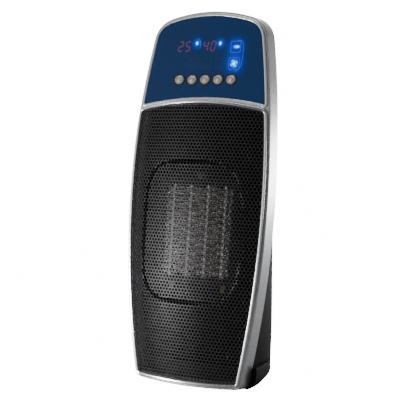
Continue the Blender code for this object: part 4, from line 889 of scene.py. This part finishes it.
BUTTON_MARKS = [
    [[(-0.0019, 0.0010), (-0.0012, 0.0014), (0.0, 0.0), (0.0012, 0.0014), (0.0019, 0.0010),
      (0.0, -0.0013)]],
    [oval(0.0013, 0.0016), oval(0.0007, 0.0010, turn=-1)],
    [[(-0.0015, -0.0004), (0.0, 0.0015), (0.0015, -0.0004), (0.0006, -0.0004),
      (0.0006, -0.0013), (-0.0006, -0.0013), (-0.0006, -0.0004)]],
    [oval(0.0010, 0.0011)],
    [[(-0.0016, 0.0), (0.0, -0.0017), (0.0016, 0.0), (0.0, 0.0017)],
     oval(0.0006, 0.0007, turn=-1)]]
for number, (middle, mark_loops) in enumerate(zip(button_middles, BUTTON_MARKS), 1):
    verts = []
    for share, depth in CAP_PROFILE:
        verts += [window_place @ Vector((px, depth, py)) for px, py in
                  oval(BUTTON_HALF_WIDTH * share, BUTTON_HALF_HEIGHT * share, (middle, 0.0))]
    cap = mesh_piece(f"button_cap_{number}", verts,
                     capped_faces(len(CAP_PROFILE), OVAL_POINTS), button_paint)
    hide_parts(f"button_{number}")
    loops = [[(middle + px, py) for px, py in loop] for loop in mark_loops]
    mark = plate(f"button_sign_{number}", loops, MARK_FRONT, MARK_THICK, button_print)
    loops = [oval(BUTTON_HALF_WIDTH + reach, BUTTON_HALF_HEIGHT + reach, (middle, 0.0), turn=turn)
             for reach, turn in ((COLLAR_REACH, 1), (COLLAR_INSIDE, -1))]
    collar = plate(f"button_collar_{number}", loops, WINDOW_FRONT - COLLAR_RISE, COLLAR_THICK,
                   collar_painted_shade, edge=COLLAR_EDGE)
    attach(cap, f"button_{number}")
    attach(mark, f"button_{number}")
    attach(collar, "casing")

# ------------------------------------------------------------------ rear housing
# One black moulding with a fine spark-eroded grain: an upright rounded back that the leaning
# frame closes, a rounded shoulder, and thirteen rows of air slots.
SHELL = 0.0025
PLAN_HALF_WIDTH = 0.0890
PLAN_CENTRE = 0.0220
PLAN_BACK = 0.1280
PLAN_POWER = 2.1
SHOULDER_TOP = 0.4360
SHOULDER_HEIGHT = 0.0560
SHOULDER_LENGTH = 0.0480
SIDE_OUT = 0.0051            # the housing's side stands this far outside the openings
TUCK = 0.0008                # length of the housing's edge inside the frame
FOOT_HEIGHT = 0.0270
GAP = 0.0003
SIDE_EDGE = 0.0180           # rounding where the housing's surfaces meet
BACK_EDGE = 0.0100
case_black = finish_of("case_black", (0.007, 0.007, 0.008), 0.48, grain=0.00045, rise=0.00003,
                       drift_size=0.04, gloss_spread=0.10, colour_spread=0.25, mirror=0.14)


def soft_max(a, b, radius):
    """The larger of two distances, with a rounded edge where the two surfaces meet."""
    over_a, over_b = np.maximum(a + radius, 0.0), np.maximum(b + radius, 0.0)
    inside = np.minimum(np.maximum(a + radius, b + radius), 0.0)
    return inside + np.sqrt(over_a ** 2 + over_b ** 2) - radius


def up_and_into(y, z):
    """Slope height and depth on the face of a point at y, z."""
    back, up = y + DEPTH_SHIFT, z - FACE_RISE
    return (back * math.sin(LEAN) + up * math.cos(LEAN),
            back * math.cos(LEAN) - up * math.sin(LEAN))


def housing_distance(x, y, z):
    """About how far a point is outside the housing's skin."""
    s, _ = up_and_into(y, z)
    back = y + DEPTH_SHIFT
    side = np.abs(x) - half_width(s) - SIDE_OUT
    over = s - top_edge(x) - SIDE_OUT
    rear = np.maximum(back - PLAN_CENTRE, 0.0) / (PLAN_BACK - PLAN_CENTRE)
    plan = ((np.abs(x) / PLAN_HALF_WIDTH) ** PLAN_POWER + rear ** PLAN_POWER)
    plan = (plan ** (1 / PLAN_POWER) - 1) * PLAN_HALF_WIDTH
    past = np.maximum(back - (PLAN_BACK - SHOULDER_LENGTH), 0.0) / SHOULDER_LENGTH
    above = np.maximum(z - (SHOULDER_TOP - SHOULDER_HEIGHT), 0.0) / SHOULDER_HEIGHT
    shoulder = (np.sqrt(past ** 2 + above ** 2) - 1) * SHOULDER_HEIGHT
    shoulder = np.where(above > 0, shoulder, back - PLAN_BACK)
    return soft_max(soft_max(side, over, SIDE_EDGE), soft_max(plan, shoulder, BACK_EDGE),
                    BACK_EDGE)


def seat_depth(x, s):
    """Depth of the housing's front edge, tucked into the frame's rear flange."""
    s_edge = np.clip(s, bottom_edge(x), top_edge(x))
    reach = half_width(s_edge)
    return frame_surface(np.clip(x, -reach, reach), s_edge) + BAND_DEPTH - TUCK


RAY_REACH = 0.16             # from the housing's inside to well past its skin
SKIN_HALVINGS = 40
SEAM_HALVINGS = 30


def cast(origins, directions):
    """Points where rays from inside leave the housing."""
    near, far = np.zeros(len(origins)), np.full(len(origins), RAY_REACH)
    for _ in range(SKIN_HALVINGS):
        middle = (near + far) / 2
        outside = housing_distance(*(origins + directions * middle[:, None]).T) > 0
        near, far = np.where(outside, near, middle), np.where(outside, middle, far)
    return origins + directions * near[:, None]


# The skin is made of rows of points. Up to the crown a row goes level round the back and tips
# slowly towards the window's lean; above it the rows fan out over the top.
COLUMNS = 144
WALL_ROWS = 110
CROWN_ROWS = 36
TILT_START = 0.1500
CROWN_START = 0.3720
SEAM_SINK = 0.0010           # the rays start this far behind the seam with the frame
levels = [(z, 0.0) for z in np.linspace(FOOT_HEIGHT + GAP, CROWN_START, WALL_ROWS)]
levels += [(CROWN_START, rise) for rise in np.linspace(0, math.pi / 2, CROWN_ROWS)[1:]]
rows = []
for z, rise in levels:
    tilt = (LEAN + WINDOW_TILT) * np.clip((z - TILT_START) / (CROWN_START - TILT_START), 0, 1)
    up_way = np.array((0, math.sin(tilt), math.cos(tilt)))
    back_way = np.array((0, math.cos(tilt), -math.sin(tilt)))
    y = 0.0
    for _ in range(SEAM_HALVINGS):
        s, depth = up_and_into(y, z)
        y += seat_depth(0.0, s) + SEAM_SINK - depth
    origin = np.array((0.0, y, z))

    def leave(angles):
        """Where the row's rays leave the housing, by their angle from straight back."""
        ways = (np.cos(rise) * (np.sin(angles)[:, None] * np.array((1.0, 0, 0))
                                + np.cos(angles)[:, None] * back_way) + np.sin(rise) * up_way)
        return cast(np.broadcast_to(origin, ways.shape), ways)

    low_turn, high_turn = math.radians(60), math.radians(150)
    for _ in range(SEAM_HALVINGS):
        angle = (low_turn + high_turn) / 2
        px, py, pz = leave(np.array([angle]))[0]
        s, depth = up_and_into(py, pz)
        if depth > seat_depth(px, s):
            low_turn = angle
        else:
            high_turn = angle
    rows.append(leave(np.linspace(-low_turn, low_turn, COLUMNS + 1)))
shell = mesh_piece("housing_shell", np.concatenate(rows).tolist(),
                   ring_faces(len(rows), COLUMNS + 1, close_rows=False, close_columns=False),
                   case_black, smooth=math.radians(50))

# Air slots with round ends are cut through the back by one repeated cutter.
SLOT_ROWS = 13
SLOT_PITCH = 0.0090
SLOT_HALF_HEIGHT = 0.00175
SLOT_HALF_LENGTH = (0.0400 - SHELL) / 2
SLOT_CENTRE = 0.2000
REAR_SCREWS = [(side * 0.0300, height) for height in (0.0750, 0.2900) for side in (-1, 1)]
SLOT_START = 0.0400          # the cutters' depth inside the back, and their length
SLOT_CUT = 0.0600
SCREW_POCKET = 0.0038
HOLE_REACH = 0.1000


def prism(loop, back, front):
    """A closed bar of the loop (across, up) that stands from back to front."""
    count = len(loop)
    verts = [(px, back, pz) for px, pz in loop] + [(px, front, pz) for px, pz in loop]
    faces = [(i, (i + 1) % count, count + (i + 1) % count, count + i) for i in range(count)]
    faces += [tuple(range(count))[::-1], tuple(range(count, 2 * count))]
    return verts, faces


def cutter_of(name, mesh):
    """A cutter of the closed mesh, with its faces turned outwards."""
    cutter = placed(name, mesh)
    bm = bmesh.new()
    bm.from_mesh(mesh)
    bmesh.ops.recalc_face_normals(bm, faces=bm.faces)
    bm.to_mesh(mesh)
    bm.free()
    return cutter


def hole_cutter(name, loop):
    """A cutter of the loop, from inside the housing out through its back."""
    return cutter_of(name, mesh_of(name, *prism(loop, 0.0, HOLE_REACH)))


def cut(piece, *cutters):
    """Takes the cutters out of the piece and removes them."""
    for cutter in cutters:
        taken = piece.modifiers.new("cut", "BOOLEAN")
        taken.operation = "DIFFERENCE"
        taken.solver = "EXACT"
        taken.object = cutter
    graph = bpy.context.evaluated_depsgraph_get()
    mesh = bpy.data.meshes.new_from_object(piece.evaluated_get(graph))
    piece.modifiers.clear()
    piece.data = mesh
    for cutter in cutters:
        bpy.data.objects.remove(cutter)
    return piece


wall = shell.modifiers.new("wall", "SOLIDIFY")
wall.thickness = SHELL
wall.offset = -1.0
slot_loop = rounded_box((0.0, 0.0), SLOT_HALF_LENGTH, SLOT_HALF_HEIGHT, SLOT_HALF_HEIGHT * 0.98)
slot_verts, slot_faces = prism(slot_loop, 0.0, SLOT_CUT)
slot_mesh = mesh_of("slot", [(px, pz, py) for px, py, pz in slot_verts], slot_faces)
slots = repeated(slot_mesh, 2, SLOT_ROWS, 2 * (SLOT_HALF_LENGTH + SHELL), SLOT_PITCH, 0.0,
                 case_black)
co = points_of(slots)
slots.vertices.foreach_set("co", np.stack(
    [co[:, 0], PLAN_BACK - DEPTH_SHIFT - SLOT_START + co[:, 2], co[:, 1] + SLOT_CENTRE],
    1).ravel())
cutters = [cutter_of("air_slots", slots)]
for number, place in enumerate(REAR_SCREWS):
    cutters.append(hole_cutter(f"pocket_{number}",
                               oval(SCREW_POCKET, SCREW_POCKET, place, count=32)))
switch_low, switch_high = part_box("power_switch_body")
switch_loop = [(switch_low.x, switch_low.z), (switch_high.x, switch_low.z),
               (switch_high.x, switch_high.z), (switch_low.x, switch_high.z)]
bush_low, bush_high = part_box("cord_inlet_bush")
bush_middle = (bush_low + bush_high) / 2
bush_radius = (bush_high.x - bush_low.x) / 2
bush_loop = oval(bush_radius, bush_radius, (bush_middle.x, bush_middle.z))
cutters += [hole_cutter("switch_hole", switch_loop), hole_cutter("bush_hole", bush_loop)]
CASE_SMOOTH = math.radians(38)
cut(shell, *cutters)
finished(shell, case_black, CASE_SMOOTH)
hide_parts("rear_housing")
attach(shell, "casing")

# ------------------------------------------------------------------ foot
# A black moulded skirt under the housing, tapered towards the floor, screwed up from below
# and standing on four rubber pads.
FOOT_CHAMFER = 0.0093
FOOT_HALF_WIDTH = 0.0820
FOOT_CENTRE = 0.0300
FOOT_POWER = 2.3
FOOT_FRONT = 0.0120
FOOT_CORNER = 0.0180
FOOT_LOW = 0.0012
POCKET_START = -0.0010       # the cutters of the pockets start below the foot
SCREW_POCKET_TOP = 0.0162
PLUNGER_HOLE = 0.0041
PLUNGER_HOLE_TOP = 0.0120


def foot_outline(inset):
    """Plan of the foot: a straight front with round corners and a swollen back."""
    half, back, front = FOOT_HALF_WIDTH - inset, PLAN_BACK - inset, FOOT_FRONT + inset
    corner = max(FOOT_CORNER - inset, 0.001)
    angles = np.linspace(0, math.pi, 97)
    c, s = np.cos(angles), np.sin(angles)
    x = half * np.sign(c) * np.abs(c) ** (2 / FOOT_POWER)
    y = FOOT_CENTRE + (back - FOOT_CENTRE) * np.abs(s) ** (2 / FOOT_POWER)
    rear = np.stack([x, y], 1)
    start, end = np.array((-half, front + corner)), np.array((-half + corner, front))
    turn = np.concatenate([[start], bend(start, np.array((-half, front)), end, 10), [end]])
    return np.concatenate([rear, turn, (turn * np.array((-1.0, 1.0)))[::-1]])


foot_rows = []
for inset, z in ((FOOT_CHAMFER + 0.0006, FOOT_LOW), (FOOT_CHAMFER * 0.93, FOOT_LOW + 0.0006),
                 (FOOT_CHAMFER * 0.60, 0.0052), (FOOT_CHAMFER * 0.28, 0.0088),
                 (FOOT_CHAMFER * 0.08, 0.0112), (0.0, 0.0138), (0.0, FOOT_HEIGHT - 0.0006),
                 (0.0005, FOOT_HEIGHT)):
    outline = foot_outline(inset)
    foot_rows.append(np.column_stack([outline[:, 0], outline[:, 1] - DEPTH_SHIFT,
                                      np.full(len(outline), z)]))
foot = mesh_piece("foot_skirt", np.concatenate(foot_rows).tolist(),
                  capped_faces(len(foot_rows), len(foot_rows[0])), case_black)

# The frame takes the foot's front away: a block whose back is the frame's rear flange.
BLOCK_ROWS, BLOCK_COLUMNS = 25, 61
BLOCK_LOW, BLOCK_HIGH = -0.0120, 0.0600
BLOCK_HALF_WIDTH = 0.1100
BLOCK_FRONT = -0.2000
seat = [on_face(x, float(seat_depth(x, s)), s)
        for s in np.linspace(BLOCK_LOW, BLOCK_HIGH, BLOCK_ROWS)
        for x in np.linspace(-BLOCK_HALF_WIDTH, BLOCK_HALF_WIDTH, BLOCK_COLUMNS)]
block_front = [(px, BLOCK_FRONT, pz) for px, _, pz in seat]
count = len(seat)
block_faces = ring_faces(BLOCK_ROWS, BLOCK_COLUMNS, close_rows=False, close_columns=False)
block_faces += [tuple(count + v for v in face[::-1]) for face in block_faces]
starts = range(0, count, BLOCK_COLUMNS)
rim_pairs = [pair for low, high in zip(starts, starts[1:])
             for pair in ((low, high), (high - 1, high + BLOCK_COLUMNS - 1))]
rim_pairs += [pair for j in range(BLOCK_COLUMNS - 1)
              for pair in ((j, j + 1), (starts[-1] + j, starts[-1] + j + 1))]
block_faces += [(a, b, count + b, count + a) for a, b in rim_pairs]
foot_cuts = [cutter_of("front_block", mesh_of("front_block", seat + block_front, block_faces))]


def pocket(name, middle, top, radius):
    """A cutter for an upright round pocket in the foot, up to that height."""
    verts, faces = prism(oval(radius, radius, (middle.x, middle.y), count=32), POCKET_START, top)
    return cutter_of(name, mesh_of(name, [(px, pz, py) for px, py, pz in verts], faces))


for number in range(1, 5):
    low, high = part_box(f"foot_pad_{number}")
    foot_cuts.append(pocket(f"pad_pocket_{number}", (low + high) / 2, high.z + GAP,
                            (high.x - low.x) / 2 + GAP))
    low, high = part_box(f"foot_screw_{number}")
    foot_cuts.append(pocket(f"screw_pocket_{number}", (low + high) / 2, SCREW_POCKET_TOP,
                            SCREW_POCKET))
low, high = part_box("tip_plunger")
foot_cuts.append(pocket("plunger_hole", (low + high) / 2, PLUNGER_HOLE_TOP, PLUNGER_HOLE))
cut(foot, *foot_cuts)
finished(foot, case_black, CASE_SMOOTH)
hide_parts("foot")
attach(foot, "casing")
rubber = finish_of("rubber", (0.022, 0.022, 0.022), 0.85, grain=0.0008, rise=0.00008,
                   colour_spread=0.4)
refinish(rubber, "cord_inlet_bush", *numbered("foot_pad", 4))

# ------------------------------------------------------------------ switch, screws, plunger
# Bought-in parts that keep the frame's own shapes: the rocker switch in its black body,
# zinc-plated pan screws, the white tip-over plunger and the switch it presses.
switch_black = finish_of("switch_black", (0.018, 0.018, 0.019), 0.28, grain=0.0006,
                         rise=0.00001, colour_spread=0.2)
zinc = finish_of("zinc_plate", (0.56, 0.57, 0.58), 0.33, metal=1.0, grain=0.0005, rise=0.00001,
                 colour_spread=0.25)
white_acetal = finish_of("white_acetal", (0.78, 0.77, 0.73), 0.42, grain=0.0007, rise=0.00001)
refinish(switch_black, "power_switch_body", "power_rocker", "tip_switch")
refinish(zinc, *numbered("rear_screw", 4), *numbered("foot_screw", 4))
refinish(white_acetal, "tip_plunger")

# ------------------------------------------------------------------ air path
# Fan, shaft, motor and duct behind the element, and the grey foam filter inside the slots.
duct_plastic = finish_of("duct_plastic", (0.028, 0.028, 0.030), 0.55, grain=0.0007,
                         rise=0.00003, colour_spread=0.25)
# The inner baffle's near-black, dull finish is painted shade: the darkness seen through the
# grille holes.
baffle_painted_shade = finish_of("baffle_painted_shade", (0.0015, 0.0015, 0.0015), 0.90, grain=0.0008,
                         mirror=0.05)
fan_plastic = finish_of("fan_plastic", (0.050, 0.050, 0.054), 0.42, grain=0.0006, rise=0.00002)
motor_plate = finish_of("motor_plate", (0.36, 0.35, 0.34), 0.42, metal=0.9, grain=0.0009,
                        rise=0.00002, colour_spread=0.3)
shaft_steel = finish_of("shaft_steel", (0.62, 0.62, 0.63), 0.22, metal=1.0, grain=0.0004,
                        rise=0.000004)
filter_foam = finish_of("filter_foam", (0.10, 0.10, 0.11), 0.90, grain=0.0011, rise=0.0006,
                        colour_spread=1.1)
refinish(duct_plastic, "air_duct", "control_tray", "thermal_cutoff")
refinish(baffle_painted_shade, "inner_baffle")
refinish(fan_plastic, "fan_impeller")
refinish(motor_plate, "motor_body", "motor_bracket")
refinish(shaft_steel, "motor_shaft")
refinish(filter_foam, "dust_filter")

# ------------------------------------------------------------------ boards
# Green circuit boards behind the window and in the foot of the housing, with the key
# switches, the white display block, a relay and a capacitor.
board_green = finish_of("board_green", (0.020, 0.150, 0.065), 0.38, grain=0.0016, rise=0.00002,
                        drift_size=0.010, colour_spread=0.5, coat=0.3)
part_black = finish_of("part_black", (0.022, 0.022, 0.024), 0.45, grain=0.0007, rise=0.00002)
refinish(board_green, "control_board", "power_board")
refinish(white_acetal, "display_module")
refinish(part_black, "relay", "capacitor", *numbered("button_switch", BUTTONS))

# ------------------------------------------------------------------ studio
# A plain white floor and surround, a soft panel on the left for the long highlight down the
# barrel, a low one behind on the right for the silver band, and one above.
WHITE = (1.0, 1.0, 1.0, 1.0)
BACKDROP_STRENGTH = 16.0     # what the camera sees as plain white
FLOOR_HALF = 8.0
floor_finish = finish_of("pale_floor", (0.30, 0.30, 0.30), 0.80, rise=0.0, drift_size=0.5,
                         colour_spread=0.01)
floor_tree = floor_finish.node_tree
floor_light = node(floor_tree, "ShaderNodeEmission")
floor_light.inputs["Color"].default_value = WHITE
floor_light.inputs["Strength"].default_value = BACKDROP_STRENGTH
floor_mix = node(floor_tree, "ShaderNodeMixShader")
wire(floor_tree, node(floor_tree, "ShaderNodeLightPath").outputs["Is Camera Ray"],
     floor_mix.inputs["Fac"])
wire(floor_tree, floor_tree.nodes["Principled BSDF"].outputs[0], floor_mix.inputs[1])
wire(floor_tree, floor_light.outputs[0], floor_mix.inputs[2])
wire(floor_tree, floor_mix.outputs[0], floor_tree.nodes["Material Output"].inputs["Surface"])
floor_corners = [(side_x * FLOOR_HALF, side_y * FLOOR_HALF, 0.0)
                 for side_x, side_y in ((-1, -1), (1, -1), (1, 1), (-1, 1))]
floor = mesh_piece("floor", floor_corners, [(0, 1, 2, 3)], floor_finish)


def soft_panel(name, place, aim, width, height, power):
    """A soft rectangular lamp at a place, turned towards its aim."""
    lamp = bpy.data.lights.new(name, "AREA")
    lamp.shape = "RECTANGLE"
    lamp.size = width
    lamp.size_y = height
    lamp.energy = power
    holder = placed(name, lamp)
    holder.location = place
    holder.rotation_mode = "QUATERNION"
    holder.rotation_quaternion = (Vector(aim) - Vector(place)).to_track_quat("-Z", "Y")


soft_panel("panel_left", (-1.19, -1.49, 0.05), (0, 0, 0.10), 0.40, 0.30, 23)
soft_panel("panel_above", (-0.1, 0.1, 2.0), (0, 0, 0.2), 1.4, 1.0, 16)
soft_panel("panel_behind_right", (0.85, 1.25, 0.20), (0, 0, 0.2), 1.3, 0.26, 11)

world = bpy.data.worlds.new("studio")
bpy.context.scene.world = world
world.use_nodes = True
sky = world.node_tree
backdrop = sky.nodes["Background"]
backdrop.inputs["Color"].default_value = WHITE
backdrop.inputs["Strength"].default_value = BACKDROP_STRENGTH
surround = node(sky, "ShaderNodeBackground")
sky_way = node(sky, "ShaderNodeTexCoord")
SURROUND_STRENGTH = 0.035    # dim all round, with a few soft bright patches added below
light_sum = SURROUND_STRENGTH
for way, sharpness, strength in (((-0.74, -0.66, 0.12), 9.0, 0.85),
                                 ((0.97, -0.26, 0.20), 14.0, 0.90),
                                 ((0.50, 0.86, -0.02), 14.0, 0.30),
                                 ((-0.45, 0.75, 0.50), 5.0, 0.80),
                                 ((0.0, 0.10, 1.0), 2.0, 0.15)):
    toward = node(sky, "ShaderNodeVectorMath", operation="DOT_PRODUCT")
    wire(sky, sky_way.outputs["Generated"], toward.inputs[0])
    toward.inputs[1].default_value = Vector(way).normalized()
    facing = maths(sky, "MAXIMUM", toward.outputs["Value"], 0.0)
    patch = maths(sky, "MULTIPLY", maths(sky, "POWER", facing, sharpness), strength)
    light_sum = maths(sky, "ADD", patch, light_sum)
surround.inputs["Color"].default_value = (0.97, 0.985, 1.0, 1.0)
wire(sky, light_sum, surround.inputs["Strength"])
choose = node(sky, "ShaderNodeMixShader")
wire(sky, node(sky, "ShaderNodeLightPath").outputs["Is Camera Ray"], choose.inputs["Fac"])
wire(sky, surround.outputs[0], choose.inputs[1])
wire(sky, backdrop.outputs[0], choose.inputs[2])
wire(sky, choose.outputs[0], sky.nodes["World Output"].inputs["Surface"])

camera_data = bpy.data.cameras.new("camera")
camera_data.sensor_width = 36.0
camera_data.lens = 102.58
camera = placed("camera", camera_data)
camera.location = (0.66975, -1.18284, 0.34719)
camera.rotation_mode = "QUATERNION"
camera.rotation_quaternion = Vector((-0.497667, 0.861985, -0.096490)).to_track_quat("-Z", "Y")
bpy.context.scene.camera = camera
